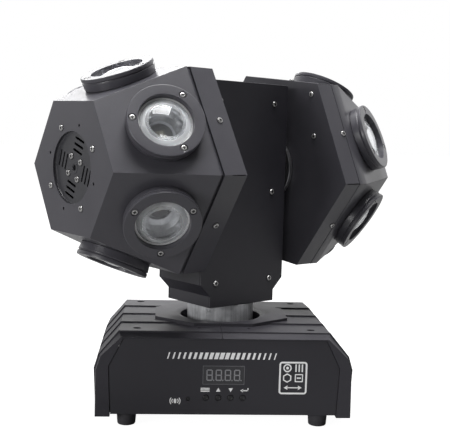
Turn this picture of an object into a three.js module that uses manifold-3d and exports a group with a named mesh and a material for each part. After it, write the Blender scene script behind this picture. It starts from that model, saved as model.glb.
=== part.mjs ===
// A rotating LED effect light: two hexagonal heads of six lenses spin without end on the sides of a
// yoke, and the yoke pans on a moulded base. Millimetres, +Z up. The origin is on the floor under the
// pan axis, and the control panel faces -Y.

import * as THREE from "three";
import { mergeVertices } from "three/addons/utils/BufferGeometryUtils.js";
import Module from "manifold-3d";

const wasm = await Module();
wasm.setup();

// Sheet, fits and cutters
const SHEET = 1.5; // folded steel of the yoke, the heads and the panels
const FIT = 0.3; // gap between pieces that touch
const OVERRUN = 4; // how far a cutter runs past what it cuts
const WELD = 0.0001; // vertices closer than this are one

// Facets round a circle
const TUBE_SIDES = 24;
const CUP_SIDES = 20;
const RING_SIDES = 16;
const SMALL_SIDES = 12;
const FOOT_SIDES = 12;
const PIN_SIDES = 8;

// The pose in which the light stands
const PAN_TURN = 36.5; // degrees from +X to the axis of the heads
const HEAD_TURNS = { left: -1, right: 6 }; // degrees about each head's own axis

// Base: the outline seen from the front, from its bottom edge up
const BASE_WIDTH = 221; // across the widest level
const BASE_FRONT = 82; // pan axis to the front face
const BASE_REAR = 82; // pan axis to the rear face
const BASE_HEIGHT = 72; // bottom edge to roof
const WAIST_HEIGHT = 40; // bottom edge to the widest level
const TUCK = 2; // waist to bottom edge, each side
const SHOULDER_HEIGHT = 51.5; // bottom edge to the bend above the waist
const SHOULDER_DRAW = 3.5; // waist to shoulder, each side
const ROOF_INSET = 20.5; // waist to roof edge, each side
const SHELL_WALL = 2.6;
const SEAM_OFFSET = -3; // the halves meet beside the middle
const BAND_PITCH = 37; // each band of the roof overlaps the one before it
const BAND_STEP = 1.3;
const LIP_DEPTH = 8; // sloped edge round the front and the rear
const LIP_DROP = 3;
const LIP_DRAW = 2.5; // how far the lip draws the waist in
const RIM_DEPTH = 6; // thickness of the frame that holds each end panel
const BUMPER_WIDTH = 12.5;
const RIM_TOP = 0.6;
const RIM_SLOPE = 4;
const BUMPER_RISE = 3; // the opening's corner above the waist

// Collar round the pan tube
const COLLAR_RISE = 2;
const COLLAR_HALF_WIDTH = 60;
const COLLAR_HALF_DEPTH = 50;
const COLLAR_SIDE_HALF = 22; // half the straight stretch at each side
const COLLAR_END_HALF = 26; // half the straight stretch in front and behind
const COLLAR_BORE = 36.8; // radius
const COLLAR_DISH = 6; // width of the bevel round the bore
const COLLAR_DISH_DROP = 1.6;
const COLLAR_SKIRT = 12; // length of the bore's wall

// Screw columns of the shells
const COLUMN_INSET_X = 35.5; // from the waist
const COLUMN_INSET_Y = 20; // from the front and the rear face
const COLUMN_RADIUS = 5;
const COLUMN_SINK = 3.4; // radius of the sunk screw head
const COLUMN_SINK_DEPTH = 3;

// Floor plate and feet
const PLATE_RISE = 1.8; // bottom edge of the shells to the plate's underside
const PLATE_FLANGE = 8; // turned-up edge behind each panel
const FOOT_HEIGHT = 10; // floor to the shells' bottom edge
const FOOT_RADIUS = 8.4;
const FOOT_TAPER = 0.7;
const FOOT_EDGE = 0.9;
const FOOT_INSET_X = 28; // from the waist
const FOOT_INSET_Y = 14.5; // from the front and the rear face
const FOOT_SINK = 3; // radius of the screw's recess
const FOOT_SINK_DEPTH = 5;
const CLAMP_HOLE_X = 35;
const CLAMP_HOLE = 3.2; // radius
const CLAMP_PAD_WIDTH = 92; // flat pad that a hanging bracket is screwed to
const CLAMP_PAD_DEPTH = 30;
const CLAMP_PAD_DROP = 0.8;

// End panels
const PANEL_RECESS = 0.8;

// Display board behind the front panel
const DISPLAY_X = -1;
const DISPLAY_Z = 46.3; // above the floor
const DISPLAY_WIDTH = 34;
const DISPLAY_HEIGHT = 14.7;
const BOARD_WIDTH = 84;
const BOARD_HEIGHT = 40;
const BOARD_THICK = 1.6;
const BOARD_STANDOFF = 5; // panel to board
const BOARD_Z = 40; // middle of the board above the floor
const POST_RADIUS = 2.4;
const POST_MARGIN = 4; // post centre to the board's edge
const MIC_X = -30.7;
const MIC_Z = 25.6;
const MIC_RADIUS = 3;
const MIC_HOLE = 1.8;

// Buttons
const BUTTON_NAMES = ["menu_button", "up_button", "down_button", "enter_button"];
const BUTTON_PITCH = 10.4;
const BUTTON_Z = 26.8;
const BUTTON_RADIUS = 2.3;
const BUTTON_PROUD = 0.6;
const BUTTON_COLLAR = 3.2; // radius
const BUTTON_COLLAR_THICK = 1.2;
const BUTTON_TAIL = 1.4; // stem behind the collar
const BUTTON_EDGE = 0.4;

// Mains inlet in the rear panel
const INLET_INSET = 60.5; // from the left waist
const INLET_Z = 42;
const INLET_BODY_WIDTH = 27;
const INLET_BODY_HEIGHT = 20;
const INLET_BODY_DEPTH = 22;
const INLET_FLANGE_WIDTH = 40;
const INLET_FLANGE_HEIGHT = 24;
const FLANGE_THICK = 2;
const INLET_SOCKET_WIDTH = 24.4;
const INLET_SOCKET_HEIGHT = 16.4;
const INLET_SOCKET_DEPTH = 16;
const INLET_CUT = 4.5; // cut-off upper corners of the socket
const PIN_WIDTH = 2;
const PIN_HEIGHT = 4;
const PIN_LENGTH = 12;
const PIN_PITCH = 7;
const EARTH_RISE = 2;

// Three-pin control sockets in the rear panel
const SOCKET_X = { dmx_input: 6, dmx_output: 42 };
const SOCKET_Z = 42;
const SOCKET_BODY = 11.8; // radius
const SOCKET_BODY_DEPTH = 21;
const SOCKET_FLANGE_WIDTH = 26;
const SOCKET_FLANGE_HEIGHT = 31;
const SOCKET_BORE = 9.4; // radius of the plug's way in
const SOCKET_BORE_DEPTH = 15;
const SOCKET_PIN = 1.2; // radius
const SOCKET_PIN_CIRCLE = 4;
const SOCKET_PIN_LENGTH = 11;
const SOCKET_FACE_SINK = 1; // output: how far its insert stands behind the flange
const SOCKET_HOLE_DEPTH = 8;
const SOCKET_MOAT = 1.2; // ring gap round the output's insert
const SOCKET_COUNT = 3; // pins

// Motors with hollow shafts
const MOTOR_WIDTH = 42.3;
const MOTOR_CORNER = 5;
const MOTOR_PILOT = 11; // radius
const MOTOR_PILOT_RISE = 1.8;
const PAN_MOTOR_LENGTH = 40;
const TILT_MOTOR_LENGTH = 34;
const MOTOR_BORE = 6.4; // radius

// Pan tube
const TUBE_RADIUS = 30.5;
const TUBE_WALL = 3;
const TUBE_FLOOR = 4;
const TUBE_FOOT_RADIUS = 33.5;
const TUBE_FOOT_HEIGHT = 6;
const PAN_SHAFT_RADIUS = 6;
const PAN_SHAFT_BORE = 3.4; // radius
const PAN_SHAFT_LENGTH = 30; // into the motor
const PAN_RUNNING_GAP = 0.8; // motor pilot to the tube's floor

// Yoke: the outline seen along its broad faces, from its own bottom up
const YOKE_BOTTOM = 96.4; // above the floor
const YOKE_WIDTH = 97.6; // along the axis of the heads
const YOKE_DEPTH = 60.8;
const YOKE_HEIGHT = 198.7;
const YOKE_CHAMFER = 10.8;
const YOKE_NECK = 10.3; // upright stretch under the chamfers
const YOKE_FLANGE = 10; // inward edge that the covers screw to
const YOKE_SHAFT_HOLE = 12.6; // radius
const YOKE_CABLE_HOLE = 18; // radius
const HEAD_AXIS = 218.2; // above the floor

// Heads: along their own axis from the yoke outwards
const HEAD_GAP = 9.8; // yoke to the lid
const HEAD_SKIRT = 27.4; // lid face to the fold
const HEAD_DEPTH = 74.5; // fold to the end plate
const HEAD_RADIUS = 97.5; // to the corners of the fold
const HEAD_END_RADIUS = 61.2;
const HEX = 6;
const LID_DEPTHS = { left: 23.2, right: 18 };
const LID_SLITS = { left: 13.5, right: 18 }; // open corners of the folded lid
const LID_SLIT_WIDTH = 0.7;
const FLUSH_SKIRTS = { left: 0.8, right: 8.9 }; // skirt level with the lid, next to the fold
const LID_BORE = 8; // radius of the cable's way in
const SKIRT_LAP = 14; // how far the skirt reaches back under the lid

// Hub between the yoke and each head
const HUB_RADIUS = 30;
const HUB_THICK = 4;
const HUB_NECK = 10;
const SHAFT_RADIUS = 6;
const SHAFT_BORE = 3.4; // radius

// Lens rings, along each facet's outward normal
const LENS_SHARE = 0.4; // centre of a lens on its facet, from the fold to the end
const RING_RADIUS = 30.9;
const RING_HEIGHT = 11;
const RING_OPENING = 22; // radius
const RING_BEVEL = 1.2;
const BEZEL_THICK = 3.4;
const WAIST_CUT = 0.9;
const WAIST_LENGTH = 1.2;
const RING_FOOT_CUT = 0.8;
const SEAT_RADIUS = 24.2;
const SEAT_DEPTH = 5.8;

// Lenses
const LENS_EDGE = 4.8; // thickness of the flange
const LENS_DOME = 19.8; // radius where the dome meets the flange
const LENS_CROWN = 5.2; // dome above the flange
const DOME_STEPS = 2;
const FACET_HOLE = 21; // radius

// End vent of each head
const VENT_RADIUS = 29;
const VENT_DEPTH = 3.1;
const CUP_SHEET = 1.2;
const CUP_FLANGE = 38; // radius
const SLOT_LENGTH = 14;
const SLOT_WIDTH = 2;
const SLOT_PITCH = 5;
const SLOT_COUNT = 3;
const SLOT_CIRCLE = 18.6; // radius of each group's middle
const SLOT_GROUPS = 4;
const SLOT_TURN = -18; // degrees
const AXLE_BOSS = 4.4; // radius
const AXLE_BOSS_LENGTH = 5;

// Fan
const AXLE_RADIUS = 2;
const FAN_HUB = 13;
const FAN_HUB_HEIGHT = 8;
const FAN_RADIUS = 26;
const FAN_BLADES = 7;
const BLADE_THICK = 1.2;
const BLADE_CHORD = 11;
const BLADE_PITCH = 36; // degrees
const BLADE_ROOT = 1; // how far a blade starts inside the hub
const FAN_GAP = 0.9; // boss to hub

// Light core: the aluminium block that carries the LED boards and their reflectors
const CORE_INSET = 14; // behind the facets
const CORE_DEPTH = 44; // fold to the core's end
const CORE_WALL = 4;
const CORE_FLANGE = 7;
const CORE_BORE = 9;
const STAR_RADIUS = 10;
const STAR_THICK = 1.6;
const STAR_SINK = 0.5; // how deep the board is set in
const CHIP_RADIUS = 3.6;
const CHIP_HEIGHT = 2;
const REFLECTOR_MOUTH = 19.4; // radius
const REFLECTOR_THROAT = 8; // radius
const REFLECTOR_WALL = 1;

// Levels worked out from the sizes above
const SHELL_BOTTOM = FOOT_HEIGHT;
const ROOF = SHELL_BOTTOM + BASE_HEIGHT;
const PLATE_TOP = SHELL_BOTTOM + PLATE_RISE + SHEET;
const COLUMN_X = BASE_WIDTH / 2 - COLUMN_INSET_X;
const COLUMN_Y = BASE_FRONT - COLUMN_INSET_Y;
const FOOT_X = BASE_WIDTH / 2 - FOOT_INSET_X;
const FOOT_Y = BASE_FRONT - FOOT_INSET_Y;
const INLET_X = INLET_INSET - BASE_WIDTH / 2;
const HEX_APOTHEM = Math.cos(Math.PI / HEX);
const HEAD_INNER = YOKE_WIDTH / 2 + HEAD_GAP;
const FOLD = HEAD_INNER + HEAD_SKIRT;
const HEAD_END = FOLD + HEAD_DEPTH;
const FACET_RUN = (HEAD_RADIUS - HEAD_END_RADIUS) * HEX_APOTHEM;
const FACET_TILT = Math.atan2(FACET_RUN, HEAD_DEPTH);
const FACET_LENGTH = Math.hypot(FACET_RUN, HEAD_DEPTH);

// Finishes
const finish = (color, roughness, metalness, more = {}) =>
  new THREE.MeshStandardMaterial({ color, roughness, metalness, flatShading: true, ...more });
const BLACK_STEEL = finish(0x2a2a2d, 0.5, 0.4);
const BLACK_PLASTIC = finish(0x232326, 0.55, 0);
const RUBBER = finish(0x141414, 0.9, 0);
const ALUMINIUM = finish(0xb9bbbe, 0.35, 0.9);
const MOTOR_BLACK = finish(0x1b1b1d, 0.45, 0.6);
const PAN_GREY = finish(0xc9cacc, 0.4, 0.5);
const BOARD_GREEN = finish(0x1d4a2c, 0.6, 0);
const CLEAR = finish(0xe8eef2, 0.05, 0, { transparent: true, opacity: 0.35 });

// Solids

function solidOf(geometry, matrix = new THREE.Matrix4()) {
  const plain = new THREE.BufferGeometry();
  plain.setAttribute("position", geometry.getAttribute("position").clone());
  if (geometry.index) plain.setIndex(geometry.index.clone());
  plain.applyMatrix4(matrix);
  const merged = mergeVertices(plain, WELD);
  const corners = merged.index.array;
  const kept = [];
  for (let i = 0; i < corners.length; i += 3) {
    const [a, b, c] = [corners[i], corners[i + 1], corners[i + 2]];
    if (a !== b && b !== c && c !== a) kept.push(a, b, c);
  }
  const spots = merged.getAttribute("position");
  if (signedVolume(spots, kept) < 0) kept.reverse();
  const mesh = new wasm.Mesh({
    numProp: 3,
    vertProperties: new Float32Array(spots.array),
    triVerts: new Uint32Array(kept),
  });
  return new wasm.Manifold(mesh);
}

function signedVolume(spots, corners) {
  const [a, b, c] = [new THREE.Vector3(), new THREE.Vector3(), new THREE.Vector3()];
  let sum = 0;
  for (let i = 0; i < corners.length; i += 3) {
    a.fromBufferAttribute(spots, corners[i]);
    b.fromBufferAttribute(spots, corners[i + 1]);
    c.fromBufferAttribute(spots, corners[i + 2]);
    sum += a.dot(b.cross(c));
  }
  return sum;
}

function meshOf(name, solid, material) {
  const cut = solid.getMesh();
  const geometry = new THREE.BufferGeometry();
  geometry.setAttribute("position", new THREE.BufferAttribute(new Float32Array(cut.vertProperties), 3));
  geometry.setIndex(new THREE.BufferAttribute(new Uint32Array(cut.triVerts), 1));
  const mesh = new THREE.Mesh(geometry, material);
  mesh.name = name;
  return mesh;
}

const joined = (first, ...others) => others.reduce((sum, solid) => sum.add(solid), first);
const cutBy = (body, ...cutters) => cutters.reduce((rest, cutter) => rest.subtract(cutter), body);

// A stack of outlines, each at its own height along Z; all have as many points, anticlockwise.
function stack(levels, matrix) {
  const count = levels[0].outline.length;
  const spots = [];
  const corners = [];
  for (const { outline, height } of levels) {
    for (const point of outline) spots.push(point.x, point.y, height);
  }
  for (let level = 0; level + 1 < levels.length; level += 1) {
    for (let i = 0; i < count; i += 1) {
      const here = level * count + i;
      const next = level * count + ((i + 1) % count);
      corners.push(here, next, next + count, here, next + count, here + count);
    }
  }
  const last = levels.length - 1;
  for (const [a, b, c] of capOf(levels[0].outline)) corners.push(c, b, a);
  for (const face of capOf(levels[last].outline)) corners.push(...face.map((i) => last * count + i));
  const geometry = new THREE.BufferGeometry();
  geometry.setAttribute("position", new THREE.Float32BufferAttribute(spots, 3));
  geometry.setIndex(corners);
  return solidOf(geometry, matrix);
}

// The faces of a flat outline, all anticlockwise.
function capOf(outline) {
  return THREE.ShapeUtils.triangulateShape(outline, []).map(([a, b, c]) => {
    const [p, q, r] = [outline[a], outline[b], outline[c]];
    const turn = (q.x - p.x) * (r.y - p.y) - (q.y - p.y) * (r.x - p.x);
    return turn > 0 ? [a, b, c] : [a, c, b];
  });
}

const prism = (outline, from, to, matrix) =>
  stack([{ outline, height: from }, { outline, height: to }], matrix);

function turned(profile, sides, matrix = new THREE.Matrix4()) {
  const points = profile.map(([radius, height]) => new THREE.Vector2(radius, height));
  const upright = new THREE.Matrix4().makeRotationX(Math.PI / 2);
  return solidOf(new THREE.LatheGeometry(points, sides), matrix.clone().multiply(upright));
}

// A ring-shaped profile is closed on itself, a solid one starts and ends on the axis.
const ringed = (profile, sides, matrix) => turned([...profile, profile[0]], sides, matrix);

const rod = (radius, from, to, sides, matrix) =>
  turned([[0, from], [radius, from], [radius, to], [0, to]], sides, matrix);

function block(width, depth, height, x = 0, y = 0, z = 0) {
  return solidOf(new THREE.BoxGeometry(width, depth, height), new THREE.Matrix4().makeTranslation(x, y, z));
}

const at = (x, y, z) => new THREE.Matrix4().makeTranslation(x, y, z);
const points = (...pairs) => pairs.map(([x, y]) => new THREE.Vector2(x, y));
const mirrored = (half) => [...half, ...[...half].reverse().map((p) => new THREE.Vector2(-p.x, p.y))];
const radians = THREE.MathUtils.degToRad;

// A regular hexagon by its apothem, with a corner on +X.
function hexagon(apothem) {
  const radius = apothem / HEX_APOTHEM;
  return Array.from({ length: HEX }, (_, i) => {
    const angle = (i * 2 * Math.PI) / HEX;
    return new THREE.Vector2(radius * Math.cos(angle), radius * Math.sin(angle));
  });
}

// Frames: an outline drawn on X and Z that runs towards the front, the rear or +X.
const toFront = new THREE.Matrix4().makeRotationX(Math.PI / 2);
const toRear = new THREE.Matrix4().makeRotationX(-Math.PI / 2);
const toRight = new THREE.Matrix4().makeBasis(
  new THREE.Vector3(0, 1, 0),
  new THREE.Vector3(0, 0, 1),
  new THREE.Vector3(1, 0, 0),
);

// Base

// The shells' outline, with its roof lowered and its waist drawn in.
function baseOutline(roofDrop, waistDraw, bottom = SHELL_BOTTOM, side = 0) {
  const half = BASE_WIDTH / 2 - side;
  return mirrored(
    points(
      [half - TUCK, bottom],
      [half - waistDraw, SHELL_BOTTOM + WAIST_HEIGHT],
      [half - waistDraw - SHOULDER_DRAW, SHELL_BOTTOM + SHOULDER_HEIGHT],
      [half - ROOF_INSET - roofDrop / 2, ROOF - roofDrop],
    ),
  );
}

// The opening of each end frame, less a margin.
function openingOutline(margin, bottom) {
  const half = BASE_WIDTH / 2;
  const low = half - TUCK - BUMPER_WIDTH - margin;
  const high = half - BUMPER_WIDTH - margin;
  const top = half - ROOF_INSET - RIM_SLOPE - margin / 2;
  return mirrored(
    points(
      [low, bottom],
      [high, SHELL_BOTTOM + WAIST_HEIGHT + BUMPER_RISE - margin / 2],
      [top, ROOF - BAND_STEP - LIP_DROP - RIM_TOP - margin],
    ),
  );
}

function bandLevels() {
  const end = baseOutline(BAND_STEP + LIP_DROP, BAND_STEP + LIP_DRAW);
  const full = baseOutline(0, 0);
  const stepped = baseOutline(BAND_STEP, BAND_STEP);
  const front = baseOutline(BAND_STEP + LIP_DROP, LIP_DRAW);
  const levels = [];
  for (let edge = BASE_FRONT - LIP_DEPTH; edge > LIP_DEPTH - BASE_REAR; edge -= BAND_PITCH) {
    levels.unshift({ outline: full, height: edge }, { outline: stepped, height: edge });
  }
  levels.unshift({ outline: stepped, height: LIP_DEPTH - BASE_REAR });
  levels.unshift({ outline: end, height: -BASE_REAR });
  levels.push({ outline: front, height: BASE_FRONT });
  return levels;
}

const collarOutline = () =>
  points(
    [COLLAR_END_HALF, -COLLAR_HALF_DEPTH],
    [COLLAR_HALF_WIDTH, -COLLAR_SIDE_HALF],
    [COLLAR_HALF_WIDTH, COLLAR_SIDE_HALF],
    [COLLAR_END_HALF, COLLAR_HALF_DEPTH],
    [-COLLAR_END_HALF, COLLAR_HALF_DEPTH],
    [-COLLAR_HALF_WIDTH, COLLAR_SIDE_HALF],
    [-COLLAR_HALF_WIDTH, -COLLAR_SIDE_HALF],
    [-COLLAR_END_HALF, -COLLAR_HALF_DEPTH],
  );

function collar() {
  const top = ROOF + COLLAR_RISE;
  const under = ROOF - BAND_STEP - SHELL_WALL;
  const wall = COLLAR_BORE + SHELL_WALL;
  return joined(
    prism(collarOutline(), under, top),
    rod(wall, top - COLLAR_SKIRT, top - SHELL_WALL, TUBE_SIDES),
  );
}

const collarBore = () =>
  turned(
    [
      [0, ROOF - COLLAR_SKIRT - OVERRUN],
      [COLLAR_BORE, ROOF - COLLAR_SKIRT - OVERRUN],
      [COLLAR_BORE, ROOF + COLLAR_RISE - COLLAR_DISH_DROP],
      [COLLAR_BORE + COLLAR_DISH, ROOF + COLLAR_RISE],
      [COLLAR_BORE + COLLAR_DISH, ROOF + OVERRUN],
      [0, ROOF + OVERRUN],
    ],
    TUBE_SIDES,
  );

const corners = (x, y) => [[-x, -y], [x, -y], [-x, y], [x, y]];

function wholeShell() {
  const hollow = baseOutline(BAND_STEP + SHELL_WALL, BAND_STEP, SHELL_BOTTOM - OVERRUN, SHELL_WALL);
  const opening = openingOutline(0, SHELL_BOTTOM - OVERRUN);
  const columns = corners(COLUMN_X, COLUMN_Y).map(([x, y]) =>
    rod(COLUMN_RADIUS, PLATE_TOP + FIT, ROOF - BAND_STEP - SHELL_WALL / 2, PIN_SIDES, at(x, y, 0)),
  );
  const sinks = corners(COLUMN_X, COLUMN_Y).map(([x, y]) =>
    rod(COLUMN_SINK, ROOF - BAND_STEP - COLUMN_SINK_DEPTH, ROOF + OVERRUN, PIN_SIDES, at(x, y, 0)),
  );
  const walls = cutBy(
    stack(bandLevels(), toFront),
    prism(hollow, RIM_DEPTH - BASE_REAR, BASE_FRONT - RIM_DEPTH, toFront),
    prism(opening, -BASE_REAR - OVERRUN, BASE_FRONT + OVERRUN, toFront),
  );
  return cutBy(joined(walls, collar(), ...columns), collarBore(), ...sinks);
}

function baseShells() {
  const whole = wholeShell();
  const reach = BASE_WIDTH;
  const seam = (side) =>
    block(reach, BASE_WIDTH * 2, reach, SEAM_OFFSET + (side * (reach + FIT)) / 2, 0, reach / 2);
  return [
    meshOf("base_shell_left", whole.intersect(seam(-1)), BLACK_PLASTIC),
    meshOf("base_shell_right", whole.intersect(seam(1)), BLACK_PLASTIC),
  ];
}

const PANEL_BOTTOM = SHELL_BOTTOM + PLATE_RISE + FIT;
const frontPanelFace = BASE_FRONT - PANEL_RECESS;
const rearPanelFace = BASE_REAR - PANEL_RECESS;

function frontPanel() {
  const [from, to] = [frontPanelFace - SHEET, frontPanelFace];
  const hole = (radius, x, z) =>
    rod(radius, from - OVERRUN, to + OVERRUN, PIN_SIDES, toFront.clone().multiply(at(x, z, 0)));
  const window = block(
    DISPLAY_WIDTH + 2 * FIT,
    SHEET + 2 * OVERRUN,
    DISPLAY_HEIGHT + 2 * FIT,
    DISPLAY_X,
    -to,
    DISPLAY_Z,
  );
  const panel = prism(openingOutline(FIT, PANEL_BOTTOM), from, to, toFront);
  const buttonHoles = BUTTON_NAMES.map((_, i) => hole(BUTTON_RADIUS + FIT, buttonX(i), BUTTON_Z));
  return meshOf("front_panel", cutBy(panel, window, hole(MIC_HOLE, MIC_X, MIC_Z), ...buttonHoles), BLACK_STEEL);
}

function rearPanel() {
  const [from, to] = [rearPanelFace - SHEET, rearPanelFace];
  const inlet = block(
    INLET_BODY_WIDTH + 2 * FIT,
    SHEET + 2 * OVERRUN,
    INLET_BODY_HEIGHT + 2 * FIT,
    INLET_X,
    to,
    INLET_Z,
  );
  const bore = (x) =>
    rod(SOCKET_BODY + FIT, -to - OVERRUN, -from + OVERRUN, SMALL_SIDES, toFront.clone().multiply(at(x, SOCKET_Z, 0)));
  const panel = prism(openingOutline(FIT, PANEL_BOTTOM), -to, -from, toFront);
  return meshOf("rear_panel", cutBy(panel, inlet, ...Object.values(SOCKET_X).map(bore)), BLACK_STEEL);
}

// The floor plate fills the shells, runs on between the bumpers and turns up behind each panel.
function bottomPlate() {
  const wide = BASE_WIDTH / 2 - TUCK - SHELL_WALL - FIT;
  const narrow = BASE_WIDTH / 2 - TUCK - BUMPER_WIDTH - 2 * FIT;
  const front = frontPanelFace - SHEET - FIT;
  const rear = rearPanelFace - SHEET - FIT;
  const shoulder = { front: BASE_FRONT - RIM_DEPTH - FIT, rear: BASE_REAR - RIM_DEPTH - FIT };
  const outline = mirrored(
    points(
      [narrow, -front],
      [narrow, -shoulder.front],
      [wide, -shoulder.front],
      [wide, shoulder.rear],
      [narrow, shoulder.rear],
      [narrow, rear],
    ),
  );
  const flange = (y) => block(2 * narrow, SHEET, PLATE_FLANGE, 0, y, PLATE_TOP + PLATE_FLANGE / 2 - FIT);
  const holes = [-CLAMP_HOLE_X, CLAMP_HOLE_X].map((x) =>
    rod(CLAMP_HOLE, SHELL_BOTTOM - OVERRUN, PLATE_TOP + OVERRUN, SMALL_SIDES, at(x, 0, 0)),
  );
  const under = PLATE_TOP - SHEET;
  const pad = block(CLAMP_PAD_WIDTH, CLAMP_PAD_DEPTH, 2 * CLAMP_PAD_DROP, 0, 0, under);
  const plate = joined(
    prism(outline, under, PLATE_TOP),
    pad,
    flange(SHEET / 2 - front),
    flange(rear - SHEET / 2),
  );
  return meshOf("bottom_plate", cutBy(plate, ...holes), BLACK_STEEL);
}

function feet() {
  const top = PLATE_TOP - SHEET - FIT;
  const profile = [
    [0, FOOT_SINK_DEPTH],
    [FOOT_SINK, FOOT_SINK_DEPTH],
    [FOOT_SINK, 0],
    [FOOT_RADIUS - FOOT_TAPER - FOOT_EDGE, 0],
    [FOOT_RADIUS - FOOT_TAPER, FOOT_EDGE],
    [FOOT_RADIUS, top],
    [0, top],
  ];
  const places = { front_left: [-1, -1], front_right: [1, -1], rear_left: [-1, 1], rear_right: [1, 1] };
  return Object.entries(places).map(([place, [x, y]]) =>
    meshOf(`foot_${place}`, turned(profile, FOOT_SIDES, at(x * FOOT_X, y * FOOT_Y, 0)), RUBBER),
  );
}

const boardFront = frontPanelFace - SHEET - BOARD_STANDOFF;

function displayModule() {
  const along = (x, z) => toFront.clone().multiply(at(x, z, 0));
  const board = block(BOARD_WIDTH, BOARD_THICK, BOARD_HEIGHT, 0, BOARD_THICK / 2 - boardFront, BOARD_Z);
  const depth = frontPanelFace - FIT - boardFront + BOARD_THICK / 2;
  const digits = block(DISPLAY_WIDTH, depth, DISPLAY_HEIGHT, DISPLAY_X, depth / 2 - frontPanelFace + FIT, DISPLAY_Z);
  const postEnd = frontPanelFace - SHEET - FIT;
  const posts = corners(BOARD_WIDTH / 2 - POST_MARGIN, BOARD_HEIGHT / 2 - POST_MARGIN).map(([x, z]) =>
    rod(POST_RADIUS, boardFront - BOARD_THICK / 2, postEnd, PIN_SIDES, along(x, BOARD_Z + z)),
  );
  const microphone = rod(MIC_RADIUS, boardFront - BOARD_THICK / 2, postEnd, PIN_SIDES, along(MIC_X, MIC_Z));
  return meshOf("display_module", joined(board, digits, microphone, ...posts), BOARD_GREEN);
}

const buttonX = (i) => (i - (BUTTON_NAMES.length - 1) / 2) * BUTTON_PITCH;

function buttons() {
  const face = frontPanelFace + BUTTON_PROUD;
  const collarFace = frontPanelFace - SHEET - FIT;
  const profile = [
    [0, collarFace - BUTTON_COLLAR_THICK - BUTTON_TAIL],
    [BUTTON_RADIUS, collarFace - BUTTON_COLLAR_THICK - BUTTON_TAIL],
    [BUTTON_RADIUS, collarFace - BUTTON_COLLAR_THICK],
    [BUTTON_COLLAR, collarFace - BUTTON_COLLAR_THICK],
    [BUTTON_COLLAR, collarFace],
    [BUTTON_RADIUS, collarFace],
    [BUTTON_RADIUS, face - BUTTON_EDGE],
    [BUTTON_RADIUS - BUTTON_EDGE, face],
    [0, face],
  ];
  return BUTTON_NAMES.map((name, i) =>
    meshOf(name, turned(profile, PIN_SIDES, toFront.clone().multiply(at(buttonX(i), BUTTON_Z, 0))), BLACK_PLASTIC),
  );
}

function powerInlet() {
  const face = rearPanelFace + FIT + FLANGE_THICK;
  const flange = block(
    INLET_FLANGE_WIDTH,
    FLANGE_THICK,
    INLET_FLANGE_HEIGHT,
    INLET_X,
    face - FLANGE_THICK / 2,
    INLET_Z,
  );
  const body = block(
    INLET_BODY_WIDTH,
    INLET_BODY_DEPTH,
    INLET_BODY_HEIGHT,
    INLET_X,
    face - FLANGE_THICK / 2 - INLET_BODY_DEPTH / 2,
    INLET_Z,
  );
  const [w, h] = [INLET_SOCKET_WIDTH / 2, INLET_SOCKET_HEIGHT / 2];
  // Drawn on X and -Z, so the cut corners come out on top.
  const socket = mirrored(points([w - INLET_CUT, -h], [w, INLET_CUT - h], [w, h]));
  const way = prism(socket, face - INLET_SOCKET_DEPTH, face + OVERRUN, at(INLET_X, 0, INLET_Z).multiply(toRear));
  const floor = face - INLET_SOCKET_DEPTH - FLANGE_THICK;
  const pin = (x, z) => block(PIN_WIDTH, PIN_LENGTH, PIN_HEIGHT, INLET_X + x, floor + PIN_LENGTH / 2, INLET_Z + z);
  return meshOf(
    "power_inlet",
    joined(cutBy(joined(flange, body), way), pin(-PIN_PITCH, 0), pin(0, EARTH_RISE), pin(PIN_PITCH, 0)),
    BLACK_PLASTIC,
  );
}

function controlSocket(name) {
  const face = rearPanelFace + FIT + FLANGE_THICK;
  const back = face - FLANGE_THICK - SOCKET_BODY_DEPTH;
  const along = at(SOCKET_X[name], 0, SOCKET_Z).multiply(toRear);
  const pinAt = (i) => {
    const angle = Math.PI / 2 + ((i - 1) * Math.PI) / 2;
    return along.clone().multiply(at(SOCKET_PIN_CIRCLE * Math.cos(angle), SOCKET_PIN_CIRCLE * Math.sin(angle), 0));
  };
  const spread = Array.from({ length: SOCKET_COUNT }, (_, i) => pinAt(i));
  const body = joined(
    block(SOCKET_FLANGE_WIDTH, FLANGE_THICK, SOCKET_FLANGE_HEIGHT, SOCKET_X[name], face - FLANGE_THICK / 2, SOCKET_Z),
    rod(SOCKET_BODY, back, face - FLANGE_THICK / 2, SMALL_SIDES, along),
  );
  const floor = face - SOCKET_BORE_DEPTH;
  if (name === "dmx_input") {
    const hollow = cutBy(body, rod(SOCKET_BORE, floor, face + OVERRUN, SMALL_SIDES, along));
    const pins = spread.map((place) =>
      rod(SOCKET_PIN, floor - FLANGE_THICK, floor + SOCKET_PIN_LENGTH, PIN_SIDES, place),
    );
    return meshOf(name, joined(hollow, ...pins), BLACK_PLASTIC);
  }
  const insertFace = face - SOCKET_FACE_SINK;
  const moat = ringed(
    [
      [SOCKET_BORE - SOCKET_MOAT, floor],
      [SOCKET_BORE, floor],
      [SOCKET_BORE, face + OVERRUN],
      [SOCKET_BORE - SOCKET_MOAT, face + OVERRUN],
    ],
    SMALL_SIDES,
    along,
  );
  const front = rod(SOCKET_BORE, insertFace, face + OVERRUN, SMALL_SIDES, along);
  const holes = spread.map((place) =>
    rod(SOCKET_PIN, insertFace - SOCKET_HOLE_DEPTH, face + OVERRUN, PIN_SIDES, place),
  );
  return meshOf(name, cutBy(body, moat, front, ...holes), BLACK_PLASTIC);
}

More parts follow.
